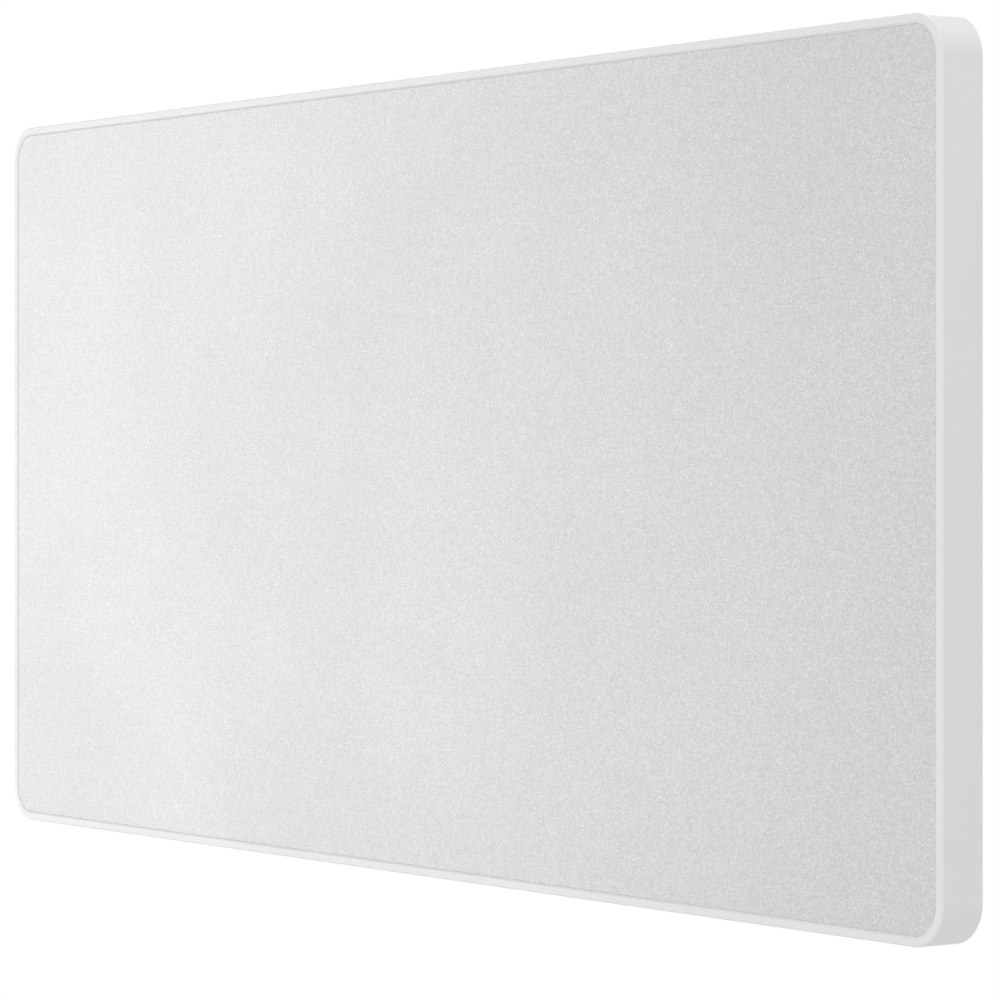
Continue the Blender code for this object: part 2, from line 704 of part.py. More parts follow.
def make_bars(copper):
    """The bars from the two end modules, and the leads down to the sockets."""
    half = LINK_WIDTH / 2
    reach = tab_x(1, 0, False) + half
    high = CENTRE_Z - LINK_Z + half
    low = CENTRE_Z - LINK_Z - half
    end = CENTRE_Z - CONTACTOR_START - LEAD_WIDTH
    for side, x, name in ((-1, CONTACTOR_X, "positive_bar"), (1, SHUNT_X, "negative_bar")):
        inner = x - side * half
        outer = x + side * half
        far = side * reach
        outline = ((far, high), (inner, high), (inner, end), (outer, end), (outer, low), (far, low))
        prism(name, outline, LINK_FRONT, LINK_BACK, copper)
    top = CENTRE_Z - CONTACTOR_START - CONTACTOR_HEIGHT + LEAD_WIDTH
    x = FUSE_X - FUSE_LENGTH / 2
    low = CENTRE_Z - FUSE_DROP - FUSE_RADIUS
    boxes("fuse_link", [slab_box(x, x + LEAD_WIDTH, LINK_FRONT, LINK_BACK, low, top)], copper)
    blade_top = RECESS_TOP + BLADE_RISE + BOX_WALL
    bottom = RECESS_TOP + BOX_WALL + SEAT_GAP * 2
    shoulder = blade_top - PAST
    top = CENTRE_Z - LEAD_TOP
    far_left = -SOCKET_X - BLADE_WIDTH / 2
    fuse_end = FUSE_X + FUSE_LENGTH / 2
    fuse_side = fuse_end - FUSE_CAP
    outline = (
        (far_left, bottom), (fuse_end, bottom), (fuse_end, top), (fuse_side, top), (fuse_side, shoulder),
        (far_left, shoulder),
    )
    prism("positive_lead", outline, LINK_FRONT, LINK_BACK, copper)
    shunt_side = SHUNT_X + SHUNT_WIDTH / 2
    shunt_inner = SHUNT_X - SHUNT_WIDTH / 2
    near_left = SOCKET_X - BLADE_WIDTH / 2
    outline = (
        (near_left, bottom), (shunt_side, bottom), (shunt_side, top), (shunt_inner, top),
        (shunt_inner, shoulder), (near_left, shoulder),
    )
    prism("negative_lead", outline, LINK_FRONT, LINK_BACK, copper)


def make_power_parts(case, ceramic, copper):
    half = CONTACTOR_WIDTH / 2
    high = CENTRE_Z - CONTACTOR_START
    body = slab_box(
        CONTACTOR_X - half, CONTACTOR_X + half, BEHIND_LINKS, MODULE_BACK, high - CONTACTOR_HEIGHT, high
    )
    boxes("contactor", [body], case)
    waist = FUSE_LENGTH / 2 - FUSE_CAP
    end = FUSE_LENGTH / 2
    profile = (
        (0, -end), (FUSE_RADIUS, -end), (FUSE_RADIUS, -waist), (FUSE_BODY_RADIUS, -waist),
        (FUSE_BODY_RADIUS, waist), (FUSE_RADIUS, waist), (FUSE_RADIUS, end), (0, end),
    )
    fuse = turned("main_fuse", profile, ceramic, SMALL_SIDES)
    stand(fuse, (FUSE_X, y_at(BEHIND_LINKS + FUSE_RADIUS), CENTRE_Z - FUSE_DROP), (0, 90, 0))
    low = CENTRE_Z - SHUNT_BOTTOM
    wide, slim = SHUNT_WIDTH / 2, SHUNT_WAIST / 2
    outline = (
        (SHUNT_X - wide, low), (SHUNT_X + wide, low), (SHUNT_X + wide, low + SHUNT_WIDTH),
        (SHUNT_X + slim, low + SHUNT_WIDTH), (SHUNT_X + slim, high - SHUNT_WIDTH),
        (SHUNT_X + wide, high - SHUNT_WIDTH), (SHUNT_X + wide, high), (SHUNT_X - wide, high),
        (SHUNT_X - wide, high - SHUNT_WIDTH), (SHUNT_X - slim, high - SHUNT_WIDTH),
        (SHUNT_X - slim, low + SHUNT_WIDTH), (SHUNT_X - wide, low + SHUNT_WIDTH),
    )
    prism("shunt", outline, BEHIND_LINKS, BEHIND_LINKS + SHUNT_THICKNESS, copper)


def make_board(finish):
    """The battery management board, its parts towards the front."""
    half = BOARD_WIDTH / 2
    low = CENTRE_Z + BOARD_START
    high = low + BOARD_HEIGHT
    back = board_back()
    front = back - BOARD_THICKNESS
    board = boxes("bms_board", [slab_box(-half, half, front, back, low, high)], finish)
    parts = []
    top = front - COMPONENT_HEIGHT
    side = COMPONENT_SIDE / 2
    for row in range(COMPONENT_ROWS):
        for column in range(COMPONENT_COLUMNS):
            x = (column - (COMPONENT_COLUMNS - 1) / 2) * COLUMN_PITCH
            z = low + FIRST_ROW + row * ROW_PITCH
            parts.append(slab_box(x - side, x + side, top, front + BITE, z - side, z + side))
    header = high - HEADER_DROP
    across = HEADER_WIDTH / 2
    parts.append(slab_box(-across, across, top, front + BITE, header, header + HEADER_HEIGHT))
    combine(board, boxes("board_parts", parts), "UNION")


def make_connector_box(finish):
    """The tub that forms the connector recess, open at the back."""
    half = RECESS_WIDTH / 2
    wall = BOX_WALL
    outside = slab_box(-half - wall, half + wall, BOX_FRONT, DEPTH, RECESS_BOTTOM - wall, RECESS_TOP + wall)
    box = boxes("connector_box", [outside], finish)
    inside = slab_box(-half, half, BOX_FLOOR, DEPTH + PAST, RECESS_BOTTOM, RECESS_TOP)
    combine(box, boxes("box_inside", [inside]))
    roof = RECESS_TOP + wall / 2
    length = wall + PAST
    spots = [(side * SOCKET_X, y_at(SOCKET_S), roof) for side in (-1, 1)]
    holes = several_rods("box_socket_holes", spots, SOCKET_RADIUS + SEAT_GAP, length, (0, 0), SIDES)
    combine(box, holes)
    wide = DATA_WIDTH / 2 + SEAT_GAP
    deep = DATA_DEPTH / 2 + SEAT_GAP
    low, high = RECESS_TOP - PAST, RECESS_TOP + wall + PAST
    port = slab_box(-wide, wide, SOCKET_S - deep, SOCKET_S + deep, low, high)
    combine(box, boxes("box_data_window", [port]))
    pin_hole = rod("box_pin_holes", PIN_RADIUS + SEAT_GAP, 2 * (half + wall + PAST))
    combine(box, stand(pin_hole, (0, y_at(HINGE_S), HINGE_Z), (0, 90, 0)))
    stop_back = DEPTH - COVER_THICKNESS - SEAT_GAP
    stops = []
    for side in (-1, 1):
        ends = sorted((side * (half - STOP_WIDTH), side * (half + BITE)))
        low, high = RECESS_BOTTOM - BITE, RECESS_BOTTOM + STOP_HEIGHT
        stops.append(slab_box(ends[0], ends[1], stop_back - STOP_WIDTH, stop_back, low, high))
    combine(box, boxes("box_stops", stops), "UNION")


def make_sockets(case, data_finish):
    """Two round power sockets and a square data socket, facing down into the recess."""
    roof = RECESS_TOP + BOX_WALL + SEAT_GAP
    height = roof - SOCKET_FACE
    profile = (
        (0, SOCKET_BORE_DEPTH), (SOCKET_BORE, SOCKET_BORE_DEPTH), (SOCKET_BORE, 0), (SOCKET_RADIUS, 0),
        (SOCKET_RADIUS, height), (0, height),
    )
    for side, name in ((-1, "positive_socket"), (1, "negative_socket")):
        x = side * SOCKET_X
        socket = stand(turned(name, profile, case), (x, y_at(SOCKET_S), SOCKET_FACE))
        half = BLADE_WIDTH / 2
        top = RECESS_TOP + BOX_WALL + BLADE_RISE
        ends = (BEHIND_LINKS, BEHIND_LINKS + LINK_THICKNESS)
        blade = slab_box(x - half, x + half, ends[0], ends[1], roof - 3 * BITE, top)
        combine(socket, boxes(name + "_blade", [blade]), "UNION")
    wide, deep = DATA_WIDTH / 2, DATA_DEPTH / 2
    top = RECESS_TOP + DATA_RISE
    body = slab_box(-wide, wide, SOCKET_S - deep, SOCKET_S + deep, SOCKET_FACE, top)
    data = boxes("data_socket", [body], data_finish)
    wide, deep = DATA_PORT_WIDTH / 2, DATA_PORT_DEPTH / 2
    low, high = SOCKET_FACE - PAST, SOCKET_FACE + SOCKET_BORE_DEPTH
    port = slab_box(-wide, wide, SOCKET_S - deep, SOCKET_S + deep, low, high)
    combine(data, boxes("data_port", [port]))


def make_connector_cover(finish, steel):
    """A flap flush with the back, on a pin along its top edge, notched for the cables."""
    half = RECESS_WIDTH / 2 - FIT_GAP
    low = RECESS_BOTTOM + FIT_GAP
    plate = slab_box(-half, half, DEPTH - COVER_THICKNESS, DEPTH, low, HINGE_Z)
    cover = boxes("connector_cover", [plate], finish)
    barrel = stand(
        rod("cover_barrel", BARREL_RADIUS, 2 * half, sides=SIDES), (0, y_at(HINGE_S), HINGE_Z), (0, 90, 0)
    )
    combine(cover, barrel, "UNION")
    bore = stand(
        rod("cover_bore", PIN_RADIUS + SEAT_GAP, 2 * half + 2 * PAST), (0, y_at(HINGE_S), HINGE_Z), (0, 90, 0)
    )
    combine(cover, bore)
    notches = []
    for x in (-SOCKET_X, 0, SOCKET_X):
        side = NOTCH_WIDTH / 2
        near, far = DEPTH - COVER_THICKNESS - PAST, DEPTH + PAST
        notches.append(slab_box(x - side, x + side, near, far, low - PAST, low + NOTCH_HEIGHT))
    combine(cover, boxes("cover_notches", notches))
    pivot("cover_hinge", (0, y_at(HINGE_S), HINGE_Z), cover)
    pin = rod("cover_pin", PIN_RADIUS, RECESS_WIDTH + 2 * PIN_ENGAGEMENT, steel)
    stand(pin, (0, y_at(HINGE_S), HINGE_Z), (0, 90, 0))


def make_button(finish, case):
    flange_low = SIDE_WALL + SEAT_GAP
    flange_high = flange_low + BUTTON_FLANGE
    profile = (
        (0, SEAT_GAP), (BUTTON_RADIUS, SEAT_GAP), (BUTTON_RADIUS, flange_low),
        (BUTTON_FLANGE_RADIUS, flange_low), (BUTTON_FLANGE_RADIUS, flange_high), (0, flange_high),
    )
    stand(turned("power_button", profile, finish), (-CONTROL_X, y_at(CONTROL_S), BOTTOM_Z))
    wide, deep, tall = BUTTON_SWITCH
    low = BOTTOM_Z + flange_high + BUTTON_TRAVEL + SEAT_GAP
    x_low, x_high = -CONTROL_X - wide / 2, -CONTROL_X + wide / 2
    body = slab_box(x_low, x_high, CONTROL_S - deep / 2, CONTROL_S + deep / 2, low, low + tall)
    boxes("button_switch", [body], case)


def make_rocker(finish, case, steel):
    """The isolator: a rocker on a pin inside a body that is open at the bottom."""
    across, deep = switch_half_sizes()
    top = BOTTOM_Z + SWITCH_HEIGHT
    near, far = CONTROL_S - deep, CONTROL_S + deep
    outside = slab_box(CONTROL_X - across, CONTROL_X + across, near, far, BOTTOM_Z, top)
    body = boxes("switch_body", [outside], case)
    inner = across - SWITCH_WALL
    roof = PIVOT_Z + ROCKER_BACK + 3 * ROCKER_CLEARANCE
    inside = slab_box(
        CONTROL_X - inner, CONTROL_X + inner, near + SWITCH_WALL, far - SWITCH_WALL, BOTTOM_Z - PAST, roof
    )
    combine(body, boxes("switch_inside", [inside]))
    axis = (CONTROL_X, y_at(CONTROL_S), PIVOT_Z)
    hole_radius = ROCKER_PIN_RADIUS + SEAT_GAP
    combine(body, stand(rod("switch_pin_holes", hole_radius, 2 * (deep + PAST)), axis, (90, 0, 0)))
    tilt = Matrix.Rotation(math.radians(ROCKER_TILT), 2)
    neutral = (
        (-ROCKER_HALF, ROCKER_BACK), (-ROCKER_HALF, -ROCKER_END), (0, -ROCKER_MIDDLE),
        (ROCKER_HALF, -ROCKER_END), (ROCKER_HALF, ROCKER_BACK),
    )
    outline = [Vector(point) @ tilt for point in neutral]
    outline = [(CONTROL_X + point.x, PIVOT_Z + point.y) for point in outline]
    half = ROCKER_WIDTH / 2
    rocker = prism("isolator_rocker", outline, CONTROL_S - half, CONTROL_S + half, finish)
    combine(rocker, stand(rod("rocker_bore", hole_radius, ROCKER_WIDTH + 2 * PAST), axis, (90, 0, 0)))
    pivot("rocker_axis", axis, rocker)
    stand(rod("rocker_pin", ROCKER_PIN_RADIUS, 2 * (deep - SEAT_GAP), steel), axis, (90, 0, 0))


def make_back_fittings(case, brass):
    stem_end = SEAT_GAP + PAST
    profile = (
        (0, -BACK_THICKNESS + SEAT_GAP), (VENT_STEM, -BACK_THICKNESS + SEAT_GAP), (VENT_STEM, SEAT_GAP),
        (VENT_RADIUS, SEAT_GAP), (VENT_RADIUS, stem_end), (VENT_RADIUS - VENT_BEVEL, VENT_HEIGHT + SEAT_GAP),
        (0, VENT_HEIGHT + SEAT_GAP),
    )
    stand(turned("vent_plug", profile, case), (VENT_X, y_at(DEPTH), CENTRE_Z - VENT_DROP), (-90, 0, 0))
    hexagon = ((0, SEAT_GAP), (EARTH_HEX, SEAT_GAP), (EARTH_HEX, EARTH_HEX_HEIGHT), (0, EARTH_HEX_HEIGHT))
    stud = turned("earth_stud", hexagon, brass, 6)
    place_of_stud = (EARTH_X, y_at(DEPTH), CENTRE_Z - EARTH_DROP)
    stand(stud, place_of_stud, (-90, 0, 0))
    shank_length = EARTH_LENGTH - EARTH_HEX_HEIGHT / 2
    middle = EARTH_LENGTH - shank_length / 2
    shank = rod("earth_shank", EARTH_STUD, shank_length)
    stand(shank, (EARTH_X, y_at(DEPTH + middle), CENTRE_Z - EARTH_DROP), (-90, 0, 0))
    combine(stud, shank, "UNION")


def main():
    clear_scene()
    white = material("white_satin", (0.80, 0.80, 0.80), 0.45, 0.0)
    flake = material("silver_flake", (0.62, 0.62, 0.62), 0.55, 0.3)
    back_grey = material("back_grey", (0.55, 0.56, 0.57), 0.5, 0.0)
    steel = material("zinc_steel", (0.62, 0.63, 0.65), 0.35, 1.0)
    dark_screw = material("screw_steel", (0.45, 0.45, 0.47), 0.3, 1.0)
    rubber = material("black_rubber", (0.03, 0.03, 0.03), 0.8, 0.0)
    seal = material("grey_rubber", (0.50, 0.50, 0.50), 0.7, 0.0)
    foam = material("grey_foam", (0.25, 0.26, 0.28), 0.9, 0.0)
    tray_plastic = material("tray_plastic", (0.05, 0.05, 0.055), 0.6, 0.0)
    pouch = material("pouch_foil", (0.70, 0.71, 0.73), 0.3, 0.9)
    copper = material("copper", (0.80, 0.42, 0.27), 0.35, 1.0)
    black_plastic = material("black_plastic", (0.04, 0.04, 0.045), 0.5, 0.0)
    ceramic = material("fuse_ceramic", (0.75, 0.73, 0.68), 0.4, 0.0)
    green_board = material("green_board", (0.03, 0.22, 0.10), 0.4, 0.0)
    red_plastic = material("red_plastic", (0.50, 0.03, 0.02), 0.45, 0.0)
    brass = material("brass", (0.78, 0.60, 0.30), 0.3, 1.0)

    make_wall_rail(steel)
    make_cleat(steel)
    make_bumpers(rubber)
    make_frame(white)
    make_panel_and_pad(flake, foam, seal)
    make_rear_cover(back_grey, rubber)
    make_rear_screws(dark_screw)
    make_tray(tray_plastic)
    make_modules(pouch)
    make_links(copper)
    make_bars(copper)
    make_power_parts(black_plastic, ceramic, copper)
    make_board(green_board)
    make_connector_box(black_plastic)
    make_sockets(black_plastic, black_plastic)
    make_connector_cover(back_grey, steel)
    make_button(white, black_plastic)
    make_rocker(red_plastic, black_plastic, steel)
    make_back_fittings(black_plastic, brass)


main()
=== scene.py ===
"""Looks of the wall battery unit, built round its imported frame."""

import json
import math

import bmesh
import bpy
from mathutils import Matrix, Vector

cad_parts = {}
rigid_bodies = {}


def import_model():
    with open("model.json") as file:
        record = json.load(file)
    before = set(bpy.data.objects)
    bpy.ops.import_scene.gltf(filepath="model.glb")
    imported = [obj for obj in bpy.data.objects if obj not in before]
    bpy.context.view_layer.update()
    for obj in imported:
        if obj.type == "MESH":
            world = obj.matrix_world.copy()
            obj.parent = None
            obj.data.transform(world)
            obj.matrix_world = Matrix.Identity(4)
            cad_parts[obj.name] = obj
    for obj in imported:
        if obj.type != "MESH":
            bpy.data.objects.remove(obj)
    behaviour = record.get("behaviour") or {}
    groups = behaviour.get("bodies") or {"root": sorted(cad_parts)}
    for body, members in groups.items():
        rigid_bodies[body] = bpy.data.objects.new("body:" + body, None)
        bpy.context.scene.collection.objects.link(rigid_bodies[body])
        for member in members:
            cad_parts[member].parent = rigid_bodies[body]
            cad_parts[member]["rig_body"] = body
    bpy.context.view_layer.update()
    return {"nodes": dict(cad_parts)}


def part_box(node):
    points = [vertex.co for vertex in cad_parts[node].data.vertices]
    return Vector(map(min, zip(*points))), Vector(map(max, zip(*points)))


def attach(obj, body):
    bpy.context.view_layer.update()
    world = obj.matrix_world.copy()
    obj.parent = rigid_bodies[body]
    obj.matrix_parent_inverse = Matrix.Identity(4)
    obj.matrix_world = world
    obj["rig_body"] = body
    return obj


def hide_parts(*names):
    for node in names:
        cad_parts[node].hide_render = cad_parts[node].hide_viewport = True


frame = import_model()

# Slab, read from the frame
LOW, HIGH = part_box("perimeter_frame")
WIDTH = HIGH.x - LOW.x
HEIGHT = HIGH.z - LOW.z
DEPTH = HIGH.y - LOW.y
MIDDLE = (LOW + HIGH) / 2
FRONT_Y = LOW.y
BACK_Y = HIGH.y
MM = 0.001

# Frame hoop
CORNER_RADIUS = 29 * MM
CORNER_STEPS = 30
SIDE_WALL = 2.4 * MM
BEZEL_WIDTH = 6 * MM
LEDGE_FRONT = 3.8 * MM
LEDGE_BACK = 5.8 * MM
LEDGE_INSET = 13 * MM
REAR_LEDGE_FRONT = 28.6 * MM
REAR_LEDGE_BACK = 30.6 * MM
OUTER_ROUNDING = 1.0 * MM
BEZEL_ROUNDING = 0.25 * MM
INSIDE_ROUNDING = 0.3 * MM

# Front panel, and the lip of its gasket
PANEL_ROUNDING = 0.25 * MM
PANEL_BACK_ROUNDING = 0.1 * MM
ROUNDING_STEPS = 4
LIP_TOP = 0.2 * MM
LIP_FOOT = 3.1 * MM
LIP_CLEARANCE = 0.05 * MM
LIP_ROUNDING = 0.1 * MM

# Back sheet
BEAD_HALF_WIDTH = 8 * MM
BEAD_RISE = 1.9 * MM
BEAD_ROUNDNESS = 0.98
TALL_BEAD_HALF = 210 * MM
WIDE_BEAD_HALF = 255 * MM

# Underside controls
BUTTON_X = -30 * MM
SWITCH_X = 30 * MM
CONTROL_Y = -38.8 * MM
BUTTON_HOLE = 6.8 * MM
SWITCH_HALF = Vector((13.1 * MM, 7.6 * MM))
SWITCH_CORNER = 0.4 * MM
HOLE_REACH = 8 * MM

# Camera: a long lens to the right of the unit, level with it
CAMERA_PLACE = Vector((2.66658, -1.83866, -0.17481))
CAMERA_TURN = 54.965
CAMERA_LENS = 152.95
CAMERA_SHIFT = -0.0438
CAMERA_SENSOR = 36
CAMERA_REACH = 50

# Room
FLOOR_DROP = 0.70
FLOOR_RADIUS = 3.0
FLOOR_STEPS = 96
ROOM_LIGHT = 0.515

# Mesh work
SHARP_ANGLE = 32
FLAT_ANGLE = 0.3
MERGE_DISTANCE = 1e-6
COPY_MERGE_DISTANCE = 2e-6
LEAST_RADIUS = 0.05 * MM

# Places of sockets that share their names with others on the same node
MIX_COLOUR_A = 6
MIX_COLOUR_B = 7
MIX_COLOUR_RESULT = 2
RANDOM_NUMBER_MAX = 3
RANDOM_NUMBER = 1

# How much darker a finish is along its drawn lines
LINE_SHADE = 0.82


FINISHES = {}


# Shader groups


def add(tree, kind, **values):
    """A node with its input values set by socket name."""
    node = tree.nodes.new(kind)
    for label, value in values.items():
        node.inputs[label.replace("_", " ")].default_value = value
    return node


def group_tree(name, inputs, outputs, tree_kind="ShaderNodeTree"):
    """A node group with named sockets, with what it is given and what it gives out."""
    tree = bpy.data.node_groups.new(name, tree_kind)
    for label, kind, *value in inputs:
        socket = tree.interface.new_socket(label, in_out="INPUT", socket_type="NodeSocket" + kind)
        if value:
            socket.default_value = value[0]
    for label, kind in outputs:
        tree.interface.new_socket(label, in_out="OUTPUT", socket_type="NodeSocket" + kind)
    return tree, tree.nodes.new("NodeGroupInput").outputs, tree.nodes.new("NodeGroupOutput").inputs


def one_over(tree, size):
    """Texture scale for a pattern of the given size."""
    divide = add(tree, "ShaderNodeMath")
    divide.operation = "DIVIDE"
    divide.inputs[0].default_value = 1
    tree.links.new(size, divide.inputs[1])
    return divide.outputs[0]


def spread(tree, value, low, high, from_low=0.0, from_high=1.0):
    """Value moved from one range to another, the new ends being sockets or numbers."""
    moved = tree.nodes.new("ShaderNodeMapRange")
    moved.inputs["From Min"].default_value = from_low
    moved.inputs["From Max"].default_value = from_high
    tree.links.new(value, moved.inputs["Value"])
    for label, end in (("To Min", low), ("To Max", high)):
        if isinstance(end, (int, float)):
            moved.inputs[label].default_value = end
        else:
            tree.links.new(end, moved.inputs[label])
    return moved.outputs["Result"]


def blend_colours(tree, share, first, second):
    """Two colours mixed by a share, each colour being a socket or a plain colour."""
    mix = tree.nodes.new("ShaderNodeMix")
    mix.data_type = "RGBA"
    tree.links.new(share, mix.inputs["Factor"])
    for socket, colour in ((mix.inputs[MIX_COLOUR_A], first), (mix.inputs[MIX_COLOUR_B], second)):
        if isinstance(colour, tuple):
            socket.default_value = colour
        else:
            tree.links.new(colour, socket)
    return mix.outputs[MIX_COLOUR_RESULT]


def combine(tree, operation, first, second):
    """Two sockets joined by a math operation."""
    node = tree.nodes.new("ShaderNodeMath")
    node.operation = operation
    tree.links.new(first, node.inputs[0])
    tree.links.new(second, node.inputs[1])
    return node.outputs[0]


def make_tone_drift():
    """Slow change between two tones, as in a coat or a moulding of uneven thickness."""
    inputs = (
        ("Place", "Vector"),
        ("Light Tone", "Color", (0.8, 0.8, 0.8, 1)),
        ("Dark Tone", "Color", (0.7, 0.7, 0.7, 1)),
        ("Patch Size", "Float", 0.1),
    )
    tree, given, result = group_tree("tone_drift", inputs, (("Tone", "Color"),))
    noise = add(tree, "ShaderNodeTexNoise", Detail=3.0, Roughness=0.55)
    tree.links.new(given["Place"], noise.inputs["Vector"])
    tree.links.new(one_over(tree, given["Patch Size"]), noise.inputs["Scale"])
    share = spread(tree, noise.outputs["Fac"], 0.0, 1.0, 0.3, 0.7)
    tone = blend_colours(tree, share, given["Light Tone"], given["Dark Tone"])
    tree.links.new(tone, result["Tone"])
    return tree


def make_fine_grain():
    """Small even bumps of a sprayed, sand-blasted or moulded surface, and the gloss that follows them."""
    inputs = (
        ("Place", "Vector"),
        ("Grain Size", "Float", 0.001),
        ("Low Roughness", "Float", 0.4),
        ("High Roughness", "Float", 0.5),
        ("Patch Size", "Float", 0.05),
    )
    tree, given, result = group_tree("fine_grain", inputs, (("Height", "Float"), ("Roughness", "Float")))
    bumps = add(tree, "ShaderNodeTexNoise", Detail=2.0, Roughness=0.5)
    tree.links.new(given["Place"], bumps.inputs["Vector"])
    tree.links.new(one_over(tree, given["Grain Size"]), bumps.inputs["Scale"])
    tree.links.new(bumps.outputs["Fac"], result["Height"])
    patches = add(tree, "ShaderNodeTexNoise", Detail=4.0, Roughness=0.6)
    tree.links.new(given["Place"], patches.inputs["Vector"])
    tree.links.new(one_over(tree, given["Patch Size"]), patches.inputs["Scale"])
    ends = given["Low Roughness"], given["High Roughness"]
    tree.links.new(spread(tree, patches.outputs["Fac"], *ends, 0.3, 0.7), result["Roughness"])
    return tree


def make_drawn_lines():
    """Fine parallel lines left by rolling, drawing or brushing; the place comes in already stretched."""
    inputs = (("Place", "Vector"), ("Line Size", "Float", 0.0004))
    tree, given, result = group_tree("drawn_lines", inputs, (("Height", "Float"), ("Mask", "Float")))
    lines = add(tree, "ShaderNodeTexNoise", Detail=3.0, Roughness=0.6)
    tree.links.new(given["Place"], lines.inputs["Vector"])
    tree.links.new(one_over(tree, given["Line Size"]), lines.inputs["Scale"])
    tree.links.new(lines.outputs["Fac"], result["Height"])
    tree.links.new(spread(tree, lines.outputs["Fac"], 0.0, 1.0, 0.35, 0.65), result["Mask"])
    return tree


def make_scattered_cells():
    """Irregular cells, each with its own value, and a mask that picks a share of them."""
    inputs = (
        ("Place", "Vector"),
        ("Cell Size", "Float", 0.001),
        ("Share", "Float", 0.1),
        ("Spot Radius", "Float", 0.5),
    )
    outputs = (("Cell Value", "Float"), ("Spots", "Float"), ("Height", "Float"))
    tree, given, result = group_tree("scattered_cells", inputs, outputs)
    cells = tree.nodes.new("ShaderNodeTexVoronoi")
    tree.links.new(given["Place"], cells.inputs["Vector"])
    tree.links.new(one_over(tree, given["Cell Size"]), cells.inputs["Scale"])
    split = tree.nodes.new("ShaderNodeSeparateColor")
    tree.links.new(cells.outputs["Color"], split.inputs["Color"])
    tree.links.new(split.outputs["Red"], result["Cell Value"])
    tree.links.new(cells.outputs["Distance"], result["Height"])
    chosen = combine(tree, "LESS_THAN", split.outputs["Green"], given["Share"])
    near = combine(tree, "LESS_THAN", cells.outputs["Distance"], given["Spot Radius"])
    tree.links.new(combine(tree, "MULTIPLY", chosen, near), result["Spots"])
    return tree


TONE_DRIFT = make_tone_drift()
FINE_GRAIN = make_fine_grain()
DRAWN_LINES = make_drawn_lines()
SCATTERED_CELLS = make_scattered_cells()


# Finishes


def use_group(tree, group, place, **values):
    """One of the shared groups in a material, with its own values."""
    node = tree.nodes.new("ShaderNodeGroup")
    node.node_tree = group
    tree.links.new(place, node.inputs["Place"])
    for label, value in values.items():
        node.inputs[label.replace("_", " ")].default_value = value
    return node


def grey(value):
    """A plain grey as a colour."""
    return (value, value, value, 1.0)


def finish(slot, light, dark, rough, grain, lift, patch=0.08, metallic=0.0, coat=0.0, stretch=None):
    """A finish with drifting tone, drifting gloss and a fine bump; returns its parts for more nodes."""
    material = bpy.data.materials.new(slot + "_finish")
    material.use_nodes = True
    tree = material.node_tree
    tree.nodes.clear()
    shader = tree.nodes.new("ShaderNodeBsdfPrincipled")
    output = tree.nodes.new("ShaderNodeOutputMaterial")
    tree.links.new(shader.outputs["BSDF"], output.inputs["Surface"])
    shader.inputs["Metallic"].default_value = metallic
    shader.inputs["Coat Weight"].default_value = coat
    place = tree.nodes.new("ShaderNodeTexCoord").outputs["Object"]
    drift = use_group(tree, TONE_DRIFT, place, Light_Tone=light, Dark_Tone=dark, Patch_Size=patch)
    fine = use_group(
        tree, FINE_GRAIN, place, Grain_Size=grain, Patch_Size=patch,
        Low_Roughness=rough[0], High_Roughness=rough[1],
    )
    tree.links.new(drift.outputs["Tone"], shader.inputs["Base Color"])
    tree.links.new(fine.outputs["Roughness"], shader.inputs["Roughness"])
    bump = add(tree, "ShaderNodeBump", Distance=lift, Strength=1.0)
    tree.links.new(fine.outputs["Height"], bump.inputs["Height"])
    tree.links.new(bump.outputs["Normal"], shader.inputs["Normal"])
    if stretch:
        mapping = tree.nodes.new("ShaderNodeMapping")
        mapping.inputs["Scale"].default_value = stretch
        tree.links.new(place, mapping.inputs["Vector"])
        lines = use_group(tree, DRAWN_LINES, mapping.outputs["Vector"], Line_Size=grain)
        tree.links.new(lines.outputs["Height"], bump.inputs["Height"])
        darker = tuple(channel * LINE_SHADE for channel in light[:3]) + (1.0,)
        tone = blend_colours(tree, lines.outputs["Mask"], drift.outputs["Tone"], darker)
        tree.links.new(tone, shader.inputs["Base Color"])
    FINISHES[slot] = material
    return {"tree": tree, "shader": shader, "place": place, "tone": drift.outputs["Tone"], "bump": bump}


def make_panel_flake():
    """Light grey coat full of small bright metal flakes."""
    parts = finish(
        "panel_flake", grey(0.692), grey(0.678), (0.36, 0.42), 2.2 * MM, 0.02 * MM, patch=0.3, coat=0.08
    )
    tree, shader, place = parts["tree"], parts["shader"], parts["place"]
    shader.inputs["Metallic"].default_value = 0.07
    shader.inputs["Coat Roughness"].default_value = 0.3
    grain = use_group(tree, SCATTERED_CELLS, place, Cell_Size=1.2 * MM, Share=0.5, Spot_Radius=0.9)
    grain_tone = (0.553, 0.553, 0.557, 1.0)
    body = blend_colours(tree, grain.outputs["Cell Value"], parts["tone"], grain_tone)
    flakes = use_group(tree, SCATTERED_CELLS, place, Cell_Size=1.6 * MM, Share=0.06, Spot_Radius=0.38)
    body = blend_colours(tree, flakes.outputs["Spots"], body, grey(0.82))
    tree.links.new(body, shader.inputs["Base Color"])


def make_zinc():
    """Zinc coat with its large pale crystals."""
    parts = finish("zinc_steel", grey(0.62), grey(0.52), (0.34, 0.5), 0.6 * MM, 0.01 * MM, metallic=1.0)
    tree = parts["tree"]
    crystals = use_group(tree, SCATTERED_CELLS, parts["place"], Cell_Size=7 * MM, Share=0.5, Spot_Radius=2.0)
    shade = spread(tree, crystals.outputs["Cell Value"], 0.0, 0.7)
    tone = blend_colours(tree, shade, parts["tone"], (0.44, 0.45, 0.47, 1.0))
    tree.links.new(tone, parts["shader"].inputs["Base Color"])


